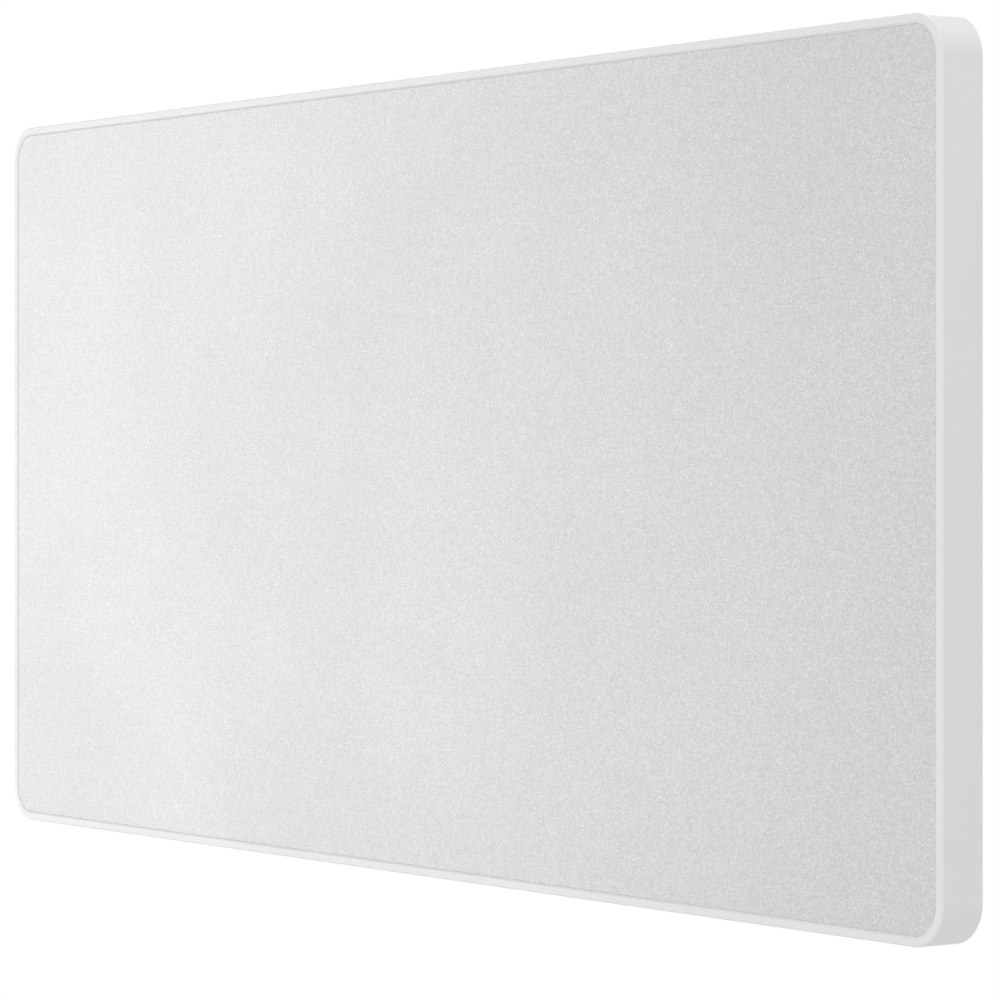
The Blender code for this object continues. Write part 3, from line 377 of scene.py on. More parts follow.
def make_foam():
    """Grey foam with open cells."""
    parts = finish("grey_foam", grey(0.16), grey(0.12), (0.85, 0.95), 1.2 * MM, 0.2 * MM)
    tree = parts["tree"]
    cells = use_group(tree, SCATTERED_CELLS, parts["place"], Cell_Size=1.6 * MM, Share=0.3, Spot_Radius=0.3)
    tree.links.new(cells.outputs["Height"], parts["bump"].inputs["Height"])


def make_foil():
    """Soft aluminium foil of the pouch cells, with the shade of creases painted in as darker patches here and
    there.
    """
    parts = finish(
        "pouch_foil", grey(0.78), grey(0.70), (0.28, 0.42), 9 * MM, 0.35 * MM, patch=0.05, metallic=1.0
    )
    tree = parts["tree"]
    painted_crease_shade = use_group(tree, SCATTERED_CELLS, parts["place"], Cell_Size=28 * MM, Share=0.3, Spot_Radius=0.3)
    # Painted shade: random cells darkened towards grey stand in for the shade on creased facets of the foil
    shade = spread(tree, painted_crease_shade.outputs["Cell Value"], 0.0, 0.25)
    tone = blend_colours(tree, shade, parts["tone"], grey(0.60))
    tree.links.new(tone, parts["shader"].inputs["Base Color"])


def make_board():
    """Green lacquer over a lattice of tracks."""
    light, dark, track = (0.02, 0.16, 0.07, 1), (0.015, 0.12, 0.05, 1), (0.05, 0.30, 0.13, 1.0)
    parts = finish("board_green", light, dark, (0.28, 0.4), 0.8 * MM, 0.02 * MM)
    tree = parts["tree"]
    tracks = add(
        tree, "ShaderNodeTexBrick", Scale=1.0, Mortar_Size=0.4 * MM, Brick_Width=9 * MM, Row_Height=2.5 * MM
    )
    turned_place = tree.nodes.new("ShaderNodeMapping")
    turned_place.inputs["Rotation"].default_value = (math.radians(90), 0, 0)
    tree.links.new(parts["place"], turned_place.inputs["Vector"])
    tree.links.new(turned_place.outputs["Vector"], tracks.inputs["Vector"])
    tone = blend_colours(tree, tracks.outputs["Fac"], parts["tone"], track)
    tree.links.new(tone, parts["shader"].inputs["Base Color"])


def make_finishes():
    """Every finish, named for its slot: light and dark tone, range of gloss, grain and its lift."""
    coat = finish("frame_white", grey(0.802), grey(0.784), (0.32, 0.38), 1.6 * MM, 0.012 * MM, patch=0.25)
    coat["shader"].inputs["Specular IOR Level"].default_value = 0.34
    make_panel_flake()
    finish("back_sheet", grey(0.66), grey(0.62), (0.42, 0.55), 1.1 * MM, 0.05 * MM, patch=0.2)
    finish("cover_plastic", grey(0.60), grey(0.56), (0.45, 0.58), 0.7 * MM, 0.05 * MM)
    make_zinc()
    finish(
        "pin_steel", grey(0.56), grey(0.48), (0.22, 0.34), 0.3 * MM, 0.01 * MM,
        metallic=1.0, stretch=(0.04, 1, 1),
    )
    finish(
        "screw_steel", grey(0.50), grey(0.42), (0.24, 0.38), 0.3 * MM, 0.01 * MM, patch=0.004, metallic=1.0
    )
    finish("grey_rubber", grey(0.82), grey(0.80), (0.6, 0.75), 0.8 * MM, 0.03 * MM, patch=0.03)
    finish("black_rubber", grey(0.022), grey(0.040), (0.68, 0.85), 0.9 * MM, 0.06 * MM, patch=0.02)
    make_foam()
    finish("tray_plastic", grey(0.060), grey(0.045), (0.45, 0.6), 0.9 * MM, 0.04 * MM)
    make_foil()
    warm, worn = (0.86, 0.40, 0.24, 1), (0.66, 0.27, 0.16, 1)
    finish(
        "copper", warm, worn, (0.22, 0.40), 0.4 * MM, 0.01 * MM,
        patch=0.02, metallic=1.0, stretch=(0.05, 1, 1),
    )
    make_board()
    finish("black_plastic", grey(0.030), grey(0.022), (0.40, 0.55), 0.7 * MM, 0.04 * MM, patch=0.03)
    cream, stained = (0.74, 0.72, 0.66, 1), (0.66, 0.64, 0.58, 1)
    finish("fuse_ceramic", cream, stained, (0.3, 0.45), 0.8 * MM, 0.03 * MM, patch=0.01)
    orange, deep_orange = (0.80, 0.20, 0.02, 1), (0.68, 0.15, 0.015, 1)
    finish("socket_orange", orange, deep_orange, (0.35, 0.5), 0.6 * MM, 0.03 * MM, patch=0.01)
    finish("socket_black", grey(0.028), grey(0.020), (0.35, 0.5), 0.6 * MM, 0.03 * MM, patch=0.01)
    yellow, tarnished = (0.78, 0.58, 0.26, 1), (0.62, 0.44, 0.18, 1)
    finish("brass", yellow, tarnished, (0.2, 0.36), 0.3 * MM, 0.01 * MM, patch=0.005, metallic=1.0)
    finish("button_white", grey(0.80), grey(0.76), (0.32, 0.42), 0.5 * MM, 0.02 * MM, patch=0.01)
    red, deep_red = (0.56, 0.025, 0.02, 1), (0.44, 0.018, 0.015, 1)
    finish("rocker_red", red, deep_red, (0.3, 0.42), 0.6 * MM, 0.03 * MM, patch=0.01)


# Mesh pieces


def slot_of(node):
    """The record's material slot of a CAD node."""
    return frame["nodes"][node].material_slots[0].material.name.split(".")[0]


def seat(piece, body, slot, nodes=()):
    """Gives a finished piece its body and its finish, and hides the CAD nodes that it stands for."""
    piece.data.materials.clear()
    piece.data.materials.append(FINISHES[slot])
    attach(piece, body)
    if nodes:
        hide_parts(*nodes)
    return piece


def new_piece(name, data):
    """An object in the scene, at the origin."""
    piece = bpy.data.objects.new(name, data)
    bpy.context.scene.collection.objects.link(piece)
    return piece


def write_closed(form, mesh):
    """Merges a form's doubles, turns its faces outwards and writes it to a mesh."""
    bmesh.ops.remove_doubles(form, verts=form.verts, dist=MERGE_DISTANCE)
    bmesh.ops.recalc_face_normals(form, faces=form.faces)
    form.to_mesh(mesh)
    form.free()


def closed_mesh(name, points, faces):
    """A mesh with merged doubles and its faces pointing outwards."""
    mesh = bpy.data.meshes.new(name)
    form = bmesh.new()
    corners = [form.verts.new(point) for point in points]
    for face in faces:
        form.faces.new([corners[index] for index in face])
    write_closed(form, mesh)
    return mesh


def soften(piece, width=0.0, segments=2, angle=SHARP_ANGLE):
    """Rounds the edges of a piece and shades its faces by their size."""
    if width:
        rounding = piece.modifiers.new("rounded_edges", "BEVEL")
        rounding.width = width
        rounding.segments = segments
        rounding.limit_method = "ANGLE"
        rounding.angle_limit = math.radians(angle)
        rounding.miter_outer = "MITER_ARC"
    piece.data.shade_smooth()
    if not width:
        piece.data.set_sharp_from_angle(angle=math.radians(angle))
    weights = piece.modifiers.new("face_weights", "WEIGHTED_NORMAL")
    weights.keep_sharp = True
    return piece


def merged_copy(node, name, width, segments=2, angle=SHARP_ANGLE):
    """A merged copy of a CAD node with its edges rounded, standing for the node."""
    source = frame["nodes"][node].data
    points = [vertex.co.copy() for vertex in source.vertices]
    faces = [tuple(polygon.vertices) for polygon in source.polygons]
    mesh = bpy.data.meshes.new(name)
    mesh.from_pydata(points, [], faces)
    form = bmesh.new()
    form.from_mesh(mesh)
    bmesh.ops.remove_doubles(form, verts=form.verts, dist=COPY_MERGE_DISTANCE)
    flat = math.radians(FLAT_ANGLE)
    bmesh.ops.dissolve_limit(form, angle_limit=flat, verts=form.verts, edges=form.edges)
    form.to_mesh(mesh)
    form.free()
    piece = soften(new_piece(name, mesh), width, segments, angle)
    return seat(piece, frame["nodes"][node]["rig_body"], slot_of(node), [node])


def rounded_outline(half_wide, half_high, radius, steps=10):
    """Points round a rounded rectangle, as x, z pairs."""
    points = []
    for corner in range(4):
        side_x, side_z = ((1, 1), (-1, 1), (-1, -1), (1, -1))[corner]
        for step in range(steps + 1):
            angle = math.radians(90 * (corner + step / steps))
            x = side_x * (half_wide - radius) + radius * math.cos(angle)
            z = side_z * (half_high - radius) + radius * math.sin(angle)
            points.append((x, z))
    return points


def loft(name, rings):
    """A closed form through rings of equal length, capped at both ends."""
    count = len(rings[0])
    points = [point for ring in rings for point in ring]
    faces = [tuple(range(count)), tuple(range(len(points) - count, len(points)))]
    for level in range(len(rings) - 1):
        for index in range(count):
            following = (index + 1) % count
            low, high = level * count, (level + 1) * count
            faces.append((low + index, low + following, high + following, high + index))
    return closed_mesh(name, points, faces)


def pressed_plate(name, middle, half_wide, half_high, radius, levels, steps=10):
    """A rounded plate in the wall's plane; each level gives an inset and its y."""
    rings = []
    for inset, y in levels:
        corner = max(radius - inset, LEAST_RADIUS)
        outline = rounded_outline(half_wide - inset, half_high - inset, corner, steps)
        rings.append([Vector((middle.x + x, y, middle.z + z)) for x, z in outline])
    return loft(name, rings)


def turned_mesh(name, profile, sides=32):
    """A form turned about the z axis from radius, height points, with merged poles."""
    points, faces = [], []
    for radius, height in profile:
        for side in range(sides):
            angle = 2 * math.pi * side / sides
            points.append(Vector((radius * math.cos(angle), radius * math.sin(angle), height)))
    count = len(profile)
    for level in range(count - 1):
        for side in range(sides):
            following = (side + 1) % sides
            low, high = level * sides, (level + 1) * sides
            if profile[level][0] == 0:
                faces.append((low + side, high + following, high + side))
            elif profile[level + 1][0] == 0:
                faces.append((low + side, low + following, high + side))
            else:
                faces.append((low + side, low + following, high + following, high + side))
    return closed_mesh(name, points, faces)


def rounded_corners(corners, steps=4):
    """Corner points of x, y, radius turned into an outline with small arcs."""
    outline = []
    count = len(corners)
    for index, (x, y, radius) in enumerate(corners):
        here = Vector((x, y))
        if not radius:
            outline.append(here)
            continue
        before = (Vector(corners[index - 1][:2]) - here).normalized()
        after = (Vector(corners[(index + 1) % count][:2]) - here).normalized()
        opening = before.angle(after)
        reach = radius / math.tan(opening / 2)
        centre = here + (before + after).normalized() * (radius / math.sin(opening / 2))
        first_arm = (here + before * reach - centre).normalized()
        last_arm = (here + after * reach - centre).normalized()
        for step in range(steps + 1):
            outline.append(centre + first_arm.slerp(last_arm, step / steps) * radius)
    return outline


def cut_away(piece, cutter):
    """Takes one form out of another and leaves a plain mesh."""
    cut = piece.modifiers.new("opening", "BOOLEAN")
    cut.object = cutter
    cut.solver = "EXACT"
    settle(piece)
    bpy.data.objects.remove(cutter)


def settle(piece):
    """Turns a piece and its modifiers into a plain mesh."""
    view = bpy.context.evaluated_depsgraph_get()
    mesh = bpy.data.meshes.new_from_object(piece.evaluated_get(view))
    piece.modifiers.clear()
    piece.data = mesh
    return piece


# Geometry node trees


def node_tree(name, inputs):
    """A geometry tree with named inputs, with what it is given and its result."""
    return group_tree(name, inputs, (("Geometry", "Geometry"),), "GeometryNodeTree")


def end_tree(tree, given, result, geometry):
    """Real geometry in the given finish, which every tree ends in."""
    real = tree.nodes.new("GeometryNodeRealizeInstances")
    painted = tree.nodes.new("GeometryNodeSetMaterial")
    tree.links.new(geometry, real.inputs["Geometry"])
    tree.links.new(real.outputs["Geometry"], painted.inputs["Geometry"])
    tree.links.new(given["Finish"], painted.inputs["Material"])
    tree.links.new(painted.outputs["Geometry"], result["Geometry"])


def make_outline_sweep():
    """A section carried round a rounded rectangle, which lies in the wall's plane."""
    inputs = (
        ("Width", "Float"),
        ("Height", "Float"),
        ("Corner Radius", "Float"),
        ("Corner Steps", "Int"),
        ("Section", "Object"),
        ("Middle", "Vector"),
        ("Finish", "Material"),
    )
    tree, given, result = node_tree("outline_sweep", inputs)
    link = tree.links.new
    outline = tree.nodes.new("GeometryNodeCurvePrimitiveQuadrilateral")
    outline.mode = "RECTANGLE"
    link(given["Width"], outline.inputs["Width"])
    link(given["Height"], outline.inputs["Height"])
    corners = tree.nodes.new("GeometryNodeFilletCurve")
    corners.mode = "POLY"
    link(outline.outputs["Curve"], corners.inputs["Curve"])
    link(given["Corner Steps"], corners.inputs["Count"])
    link(given["Corner Radius"], corners.inputs["Radius"])
    upright = tree.nodes.new("GeometryNodeSetCurveNormal")
    upright.mode = "Z_UP"
    link(corners.outputs["Curve"], upright.inputs["Curve"])
    section = tree.nodes.new("GeometryNodeObjectInfo")
    link(given["Section"], section.inputs["Object"])
    swept = tree.nodes.new("GeometryNodeCurveToMesh")
    link(upright.outputs["Curve"], swept.inputs["Curve"])
    link(section.outputs["Geometry"], swept.inputs["Profile Curve"])
    stood = tree.nodes.new("GeometryNodeTransform")
    stood.inputs["Rotation"].default_value = (math.radians(90), 0, 0)
    link(swept.outputs["Mesh"], stood.inputs["Geometry"])
    link(given["Middle"], stood.inputs["Translation"])
    end_tree(tree, given, result, stood.outputs["Geometry"])
    return tree


def make_row_of_forms():
    """One form repeated at an even pitch."""
    inputs = (
        ("Form", "Object"),
        ("Count", "Int"),
        ("Start", "Vector"),
        ("Pitch", "Vector"),
        ("Finish", "Material"),
    )
    tree, given, result = node_tree("row_of_forms", inputs)
    link = tree.links.new
    line = tree.nodes.new("GeometryNodeMeshLine")
    link(given["Count"], line.inputs["Count"])
    link(given["Start"], line.inputs["Start Location"])
    link(given["Pitch"], line.inputs["Offset"])
    form = tree.nodes.new("GeometryNodeObjectInfo")
    link(given["Form"], form.inputs["Object"])
    copies = tree.nodes.new("GeometryNodeInstanceOnPoints")
    link(line.outputs["Mesh"], copies.inputs["Points"])
    link(form.outputs["Geometry"], copies.inputs["Instance"])
    end_tree(tree, given, result, copies.outputs["Instances"])
    return tree


def make_socket_screws():
    """Domed screw heads with a six-sided socket, one on each given point, turned at random."""
    inputs = (
        ("Places", "Geometry"),
        ("Head Radius", "Float"),
        ("Head Height", "Float"),
        ("Socket Radius", "Float"),
        ("Socket Depth", "Float"),
        ("Turn Seed", "Int"),
        ("Finish", "Material"),
    )
    tree, given, result = node_tree("socket_screws", inputs)
    link = tree.links.new

    def times(value, factor):
        """A socket's value times a plain number."""
        product = tree.nodes.new("ShaderNodeMath")
        product.operation = "MULTIPLY"
        link(value, product.inputs[0])
        product.inputs[1].default_value = factor
        return product.outputs[0]

    def moved(geometry, height):
        """A form raised along z."""
        shift = tree.nodes.new("GeometryNodeTransform")
        offset = tree.nodes.new("ShaderNodeCombineXYZ")
        link(height, offset.inputs["Z"])
        link(offset.outputs["Vector"], shift.inputs["Translation"])
        link(geometry, shift.inputs["Geometry"])
        return shift.outputs["Geometry"]

    whole = None
    # Each step of the dome: radius below and above, height, start, as shares of the head
    dome = (
        (1.0, 1.0, 0.42, 0.0),
        (1.0, 0.90, 0.24, 0.42),
        (0.90, 0.70, 0.20, 0.66),
        (0.70, 0.55, 0.07, 0.86),
    )
    for low, high, tall, start in dome:
        step = add(tree, "GeometryNodeMeshCone", Vertices=28)
        link(times(given["Head Radius"], high), step.inputs["Radius Top"])
        link(times(given["Head Radius"], low), step.inputs["Radius Bottom"])
        link(times(given["Head Height"], tall), step.inputs["Depth"])
        placed = moved(step.outputs["Mesh"], times(given["Head Height"], start))
        if whole is None:
            whole = placed
            continue
        union = tree.nodes.new("GeometryNodeMeshBoolean")
        union.operation = "UNION"
        link(whole, union.inputs["Mesh 2"])
        link(placed, union.inputs["Mesh 2"])
        whole = union.outputs["Mesh"]
    drive = add(tree, "GeometryNodeMeshCylinder", Vertices=6)
    link(given["Socket Radius"], drive.inputs["Radius"])
    link(times(given["Socket Depth"], 2.0), drive.inputs["Depth"])
    cut = tree.nodes.new("GeometryNodeMeshBoolean")
    cut.operation = "DIFFERENCE"
    link(whole, cut.inputs["Mesh 1"])
    link(moved(drive.outputs["Mesh"], times(given["Head Height"], 0.93)), cut.inputs["Mesh 2"])
    turn = tree.nodes.new("FunctionNodeRandomValue")
    turn.data_type = "FLOAT"
    turn.inputs[RANDOM_NUMBER_MAX].default_value = math.radians(60)
    link(given["Turn Seed"], turn.inputs["Seed"])
    spin = tree.nodes.new("ShaderNodeCombineXYZ")
    link(turn.outputs[RANDOM_NUMBER], spin.inputs["Z"])
    outwards = tree.nodes.new("GeometryNodeInstanceOnPoints")
    link(given["Places"], outwards.inputs["Points"])
    link(cut.outputs["Mesh"], outwards.inputs["Instance"])
    link(spin.outputs["Vector"], outwards.inputs["Rotation"])
    end_tree(tree, given, result, outwards.outputs["Instances"])
    return tree


OUTLINE_SWEEP = make_outline_sweep()
ROW_OF_FORMS = make_row_of_forms()
SOCKET_SCREWS = make_socket_screws()


def grow(name, tree, mesh=None, turn=None, **values):
    """Runs a node tree on a new piece and keeps the result as a plain mesh."""
    piece = new_piece(name, mesh or bpy.data.meshes.new(name))
    nodes = piece.modifiers.new(tree.name, "NODES")
    nodes.node_group = tree
    for item in tree.interface.items_tree:
        if item.item_type != "SOCKET" or item.in_out != "INPUT":
            continue
        label = item.name.replace(" ", "_")
        if label in values:
            nodes[item.identifier] = values[label]
    settle(piece)
    if turn:
        piece.data.transform(turn)
    form = bmesh.new()
    form.from_mesh(piece.data)
    write_closed(form, piece.data)
    return piece


def helper(mesh):
    """A form that only serves to make another."""
    return new_piece("helper", mesh)


def drop(*helpers):
    """Removes helpers once they have served."""
    for item in helpers:
        bpy.data.objects.remove(item)


# The slab


def sweep_section(name, corners, slot):
    """Carries a section, given as inset, depth, radius corners, round the slab's outline."""
    outline = rounded_corners(corners, 5)
    curve = bpy.data.curves.new(name + "_section", "CURVE")
    curve.dimensions = "3D"
    spline = curve.splines.new("POLY")
    spline.points.add(len(outline) - 1)
    for point, place in zip(spline.points, outline):
        point.co = (-place.x, place.y, 0, 1)
    spline.use_cyclic_u = True
    section = new_piece(name + "_section", curve)
    swept = grow(
        name, OUTLINE_SWEEP, Width=WIDTH, Height=HEIGHT,
        Corner_Radius=CORNER_RADIUS, Corner_Steps=CORNER_STEPS,
        Section=section, Middle=(MIDDLE.x, FRONT_Y, MIDDLE.z), Finish=FINISHES[slot],
    )
    drop(section)
    return swept


def make_frame_hoop():
    """White hoop: bezel, side band and the two inner ledges, in one section."""
    outer, inner, edge = OUTER_ROUNDING, INSIDE_ROUNDING, BEZEL_ROUNDING
    corners = (
        (0, 0, outer),
        (BEZEL_WIDTH, 0, edge),
        (BEZEL_WIDTH, LEDGE_FRONT, 0),
        (LEDGE_INSET, LEDGE_FRONT, inner),
        (LEDGE_INSET, LEDGE_BACK, inner),
        (SIDE_WALL, LEDGE_BACK, 0),
        (SIDE_WALL, REAR_LEDGE_FRONT, 0),
        (LEDGE_INSET, REAR_LEDGE_FRONT, inner),
        (LEDGE_INSET, REAR_LEDGE_BACK, inner),
        (SIDE_WALL, REAR_LEDGE_BACK, 0),
        (SIDE_WALL, DEPTH, inner),
        (0, DEPTH, outer),
    )
    hoop = sweep_section("frame_hoop", corners, "frame_white")
    near, far = -HOLE_REACH, HOLE_REACH
    round_cut = turned_mesh("button_hole", ((0, near), (BUTTON_HOLE, near), (BUTTON_HOLE, far), (0, far)), 40)
    round_cut.transform(Matrix.Translation((BUTTON_X, CONTROL_Y, LOW.z)))
    cut_away(hoop, helper(round_cut))
    outline = rounded_outline(SWITCH_HALF.x, SWITCH_HALF.y, SWITCH_CORNER, 4)
    rings = []
    for height in (LOW.z - HOLE_REACH, LOW.z + HOLE_REACH):
        rings.append([Vector((SWITCH_X + x, CONTROL_Y + y, height)) for x, y in outline])
    cut_away(hoop, helper(loft("switch_hole", rings)))
    soften(hoop)
    seat(hoop, "unit", "frame_white", ["perimeter_frame"])


def make_panel_sheet():
    """Flat front sheet with a small rounding along its edge."""
    low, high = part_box("front_panel")
    half_wide, half_high = (high.x - low.x) / 2, (high.z - low.z) / 2
    edge, back_edge = PANEL_ROUNDING, PANEL_BACK_ROUNDING
    levels = []
    for step in range(ROUNDING_STEPS + 1):
        angle = math.radians(90 * step / ROUNDING_STEPS)
        levels.append((edge * (1 - math.sin(angle)), low.y + edge * (1 - math.cos(angle))))
    levels.append((0, high.y - back_edge))
    levels.append((back_edge, high.y))
    radius = CORNER_RADIUS - (WIDTH / 2 - half_wide)
    sheet = pressed_plate("panel_sheet", MIDDLE, half_wide, half_high, radius, levels, 20)
    panel = new_piece("panel_sheet", sheet)
    soften(panel)
    seat(panel, "unit", "panel_flake", ["front_panel"])


def make_seal_lip():
    """Grey lip of the panel's gasket, which stands in the gap between panel and bezel."""
    panel_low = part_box("front_panel")[0]
    outer = BEZEL_WIDTH + LIP_CLEARANCE
    inner = panel_low.x - LOW.x - LIP_CLEARANCE
    corners = (
        (outer, LIP_TOP, LIP_ROUNDING), (inner, LIP_TOP, LIP_ROUNDING),
        (inner, LIP_FOOT, 0), (outer, LIP_FOOT, 0),
    )
    lip = sweep_section("seal_lip", corners, "grey_rubber")
    soften(lip)
    seat(lip, "unit", "grey_rubber")


# The back


def bead_mesh(half_long, upright):
    """A pressed stiffening bead with sloped sides and round ends, on the back sheet."""
    across, along = (BEAD_HALF_WIDTH, half_long) if upright else (half_long, BEAD_HALF_WIDTH)
    top = BACK_Y + BEAD_RISE
    levels = (
        (0, BACK_Y - 0.2 * MM), (0, BACK_Y + 0.05 * MM), (0.4 * MM, BACK_Y + 0.4 * MM),
        (1.3 * MM, top - 0.4 * MM), (2.0 * MM, top - 0.1 * MM), (2.8 * MM, top),
    )
    roundness = BEAD_HALF_WIDTH * BEAD_ROUNDNESS
    return pressed_plate("bead", Vector((0, 0, 0)), across, along, roundness, levels, 8)


def make_beads():
    """Rows of beads at both sides of the back and across its middle."""
    tall = helper(bead_mesh(TALL_BEAD_HALF, True))
    wide = helper(bead_mesh(WIDE_BEAD_HALF, False))
    rows = (
        ("beads_left", tall, 5, (-0.555, 0, -0.158), (0.045, 0, 0)),
        ("beads_right", tall, 5, (0.375, 0, -0.158), (0.045, 0, 0)),
        ("beads_middle", wide, 4, (0, 0, -0.222), (0, 0, 0.042)),
    )
    for name, form, count, start, pitch in rows:
        row = grow(
            name, ROW_OF_FORMS, Form=form, Count=count, Start=start, Pitch=pitch,
            Finish=FINISHES["back_sheet"],
        )
        soften(row)
        seat(row, "unit", "back_sheet")
    drop(tall, wide)


def out_of_back(place):
    """Turns a form made along z so that it points out of the back, at a place."""
    return Matrix.Translation(place) @ Matrix.Rotation(math.radians(-90), 4, "X")


def screw_heads(name, places, radius, height, body, slot, y, nodes=()):
    """Socket screws at x, z places, standing on a face at the given y."""
    mesh = bpy.data.meshes.new(name)
    mesh.from_pydata([(x, -z, 0) for x, z in places], [], [])
    turn = out_of_back((0, y, 0))
    heads = grow(
        name, SOCKET_SCREWS, mesh, turn, Head_Radius=radius, Head_Height=height, Socket_Radius=radius * 0.5,
        Socket_Depth=height * 0.5, Turn_Seed=4, Finish=FINISHES[slot],
    )
    soften(heads, 0.12 * MM, 1, 38)
    return seat(heads, body, slot, nodes)


def make_rear_screws():
    """Heads of the screws that hold the rear cover, one on each CAD screw."""
    nodes = sorted(name for name in frame["nodes"] if name.startswith("rear_screw_"))
    places = []
    for node in nodes:
        low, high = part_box(node)
        places.append(((low.x + high.x) / 2, (low.z + high.z) / 2))
    low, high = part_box(nodes[0])
    radius, height = (high.x - low.x) / 2, high.y - BACK_Y
    screw_heads("rear_screw_heads", places, radius, height, "unit", "screw_steel", BACK_Y, nodes)


def make_hanging():
    """Rail on the wall and the cleat that hooks over it, with the screws that hold the cleat."""
    merged_copy("wall_rail", "rail_profile", 0.5 * MM, 3)
    merged_copy("hanger_cleat", "cleat_profile", 0.5 * MM, 3)
    low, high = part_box("hanger_cleat")
    count, end_margin, row_height, web = 6, 35 * MM, 9 * MM, 3 * MM
    pitch = (high.x - low.x - 2 * end_margin) / (count - 1)
    places = [(low.x + end_margin + index * pitch, low.z + row_height) for index in range(count)]
    screw_heads("cleat_screws", places, 3.6 * MM, 2.0 * MM, "unit", "screw_steel", low.y + web)


def make_bumpers():
    """Rubber feet with a stepped base and a ribbed face."""
    rib_count, rib_pitch = 6, 4.6 * MM
    for node in ("bumper_left", "bumper_right"):
        low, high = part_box(node)
        middle = (low + high) / 2
        half = (high.x - low.x) / 2
        levels = (
            (0.4 * MM, low.y), (0, low.y + 0.4 * MM), (0, low.y + 4 * MM), (0.5 * MM, low.y + 4.6 * MM),
            (1.6 * MM, low.y + 5.2 * MM), (2.2 * MM, high.y - 3 * MM), (3.0 * MM, high.y - 2.0 * MM),
            (4.2 * MM, high.y - 1.6 * MM),
        )
        foot = new_piece(node + "_foot", pressed_plate(node, middle, half, half, 5 * MM, levels, 8))
        soften(foot)
        seat(foot, "unit", "black_rubber", [node])
        rib_levels = (
            (0, high.y - 1.8 * MM), (0, high.y - 0.5 * MM), (0.3 * MM, high.y - 0.1 * MM), (0.6 * MM, high.y),
        )
        rib_middle = Vector((middle.x, 0, 0))
        rib = helper(pressed_plate("rib", rib_middle, 13 * MM, 1.3 * MM, 1.2 * MM, rib_levels, 5))
        first_rib = middle.z - rib_pitch * (rib_count - 1) / 2
        ribs = grow(
            node + "_ribs", ROW_OF_FORMS, Form=rib, Count=rib_count, Start=(0, 0, first_rib),
            Pitch=(0, 0, rib_pitch), Finish=FINISHES["black_rubber"],
        )
        drop(rib)
        soften(ribs)
        seat(ribs, "unit", "black_rubber")


def make_vent():
    """Vent plug: a low cap with slots round it."""
    low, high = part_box("vent_plug")
    middle = (low + high) / 2
    radius = (high.x - low.x) / 2
    rise = high.y - BACK_Y
    stem, stem_end, cap_start = 6 * MM, -1.7 * MM, 0.3 * MM
    dish_bottom = rise - 0.5 * MM
    profile = (
        (0, stem_end), (stem, stem_end), (stem, cap_start), (radius, cap_start), (radius, rise * 0.55),
        (radius - 0.5 * MM, rise * 0.85), (radius - 1.3 * MM, rise), (4.2 * MM, rise),
        (3.8 * MM, dish_bottom), (0, dish_bottom),
    )
    cap = new_piece("vent_cap", turned_mesh("vent_cap", profile, 48))
    slots, slot_place = 8, 7.6 * MM
    half_wide, half_long, corner = 0.7 * MM, 2.0 * MM, 0.65 * MM
    cut_levels = ((0, -1 * MM), (0, 1 * MM))
    for index in range(slots):
        slot_form = pressed_plate("slot", Vector((0, 0, 0)), half_wide, half_long, corner, cut_levels, 4)
        slot_form.transform(Matrix.Rotation(math.radians(-90), 4, "X"))
        slot_form.transform(Matrix.Translation((0, slot_place, rise)))
        slot_form.transform(Matrix.Rotation(math.radians(360 / slots * index), 4, "Z"))
        cut_away(cap, helper(slot_form))
    cap.data.transform(out_of_back((middle.x, BACK_Y, middle.z)))
    soften(cap)
    seat(cap, "unit", "black_plastic", ["vent_plug"])


def make_earth_stud():
    """Brass stud with a hexagon base, a turned thread, two washers and a nut."""
    low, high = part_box("earth_stud")
    middle = (low + high) / 2
    length = high.y - BACK_Y
    onto_back = out_of_back((middle.x, BACK_Y, middle.z))
    foot, root, crest, pitch = 0.3 * MM, 2.5 * MM, 3.0 * MM, 1.0 * MM
    thread = [(0, foot), (root, foot)]
    height = 4.0 * MM
    while height < length - 1.4 * MM:
        thread += [(root, height), (crest, height + 0.42 * pitch), (crest, height + 0.58 * pitch)]
        height += pitch
    thread += [(2.4 * MM, length - 0.7 * MM), (2.1 * MM, length), (0, length)]
    stud = new_piece("earth_thread", turned_mesh("earth_thread", thread, 28))
    stud.data.transform(onto_back)
    soften(stud)
    seat(stud, "unit", "brass", ["earth_stud"])
    bore, face, corner, chamfer = 3.05 * MM, 5.6 * MM, 6.4 * MM, 0.5 * MM
    for name, start, tall in (("earth_base", foot, 3.7 * MM), ("earth_nut", 6.0 * MM, 4.4 * MM)):
        end = start + tall
        nut_profile = (
            (bore, start), (face, start), (corner, start + chamfer), (corner, end - chamfer),
            (face, end), (bore, end), (bore, start),
        )
        nut = new_piece(name, turned_mesh(name, nut_profile, 6))
        nut.data.transform(onto_back)
        soften(nut, 0.2 * MM, 2)
        seat(nut, "unit", "brass")
    hole, thickness = 3.1 * MM, 0.8 * MM
    washers = (("earth_washer", 4.1 * MM, 6.3 * MM), ("earth_lock_washer", 5.05 * MM, 5.4 * MM))
    for name, start, radius in washers:
        end = start + thickness
        ring = ((hole, start), (radius, start), (radius, end), (hole, end), (hole, start))
        washer = new_piece(name, turned_mesh(name, ring, 36))
        washer.data.transform(onto_back)
        soften(washer, 0.12 * MM, 2)
        seat(washer, "unit", "screw_steel")


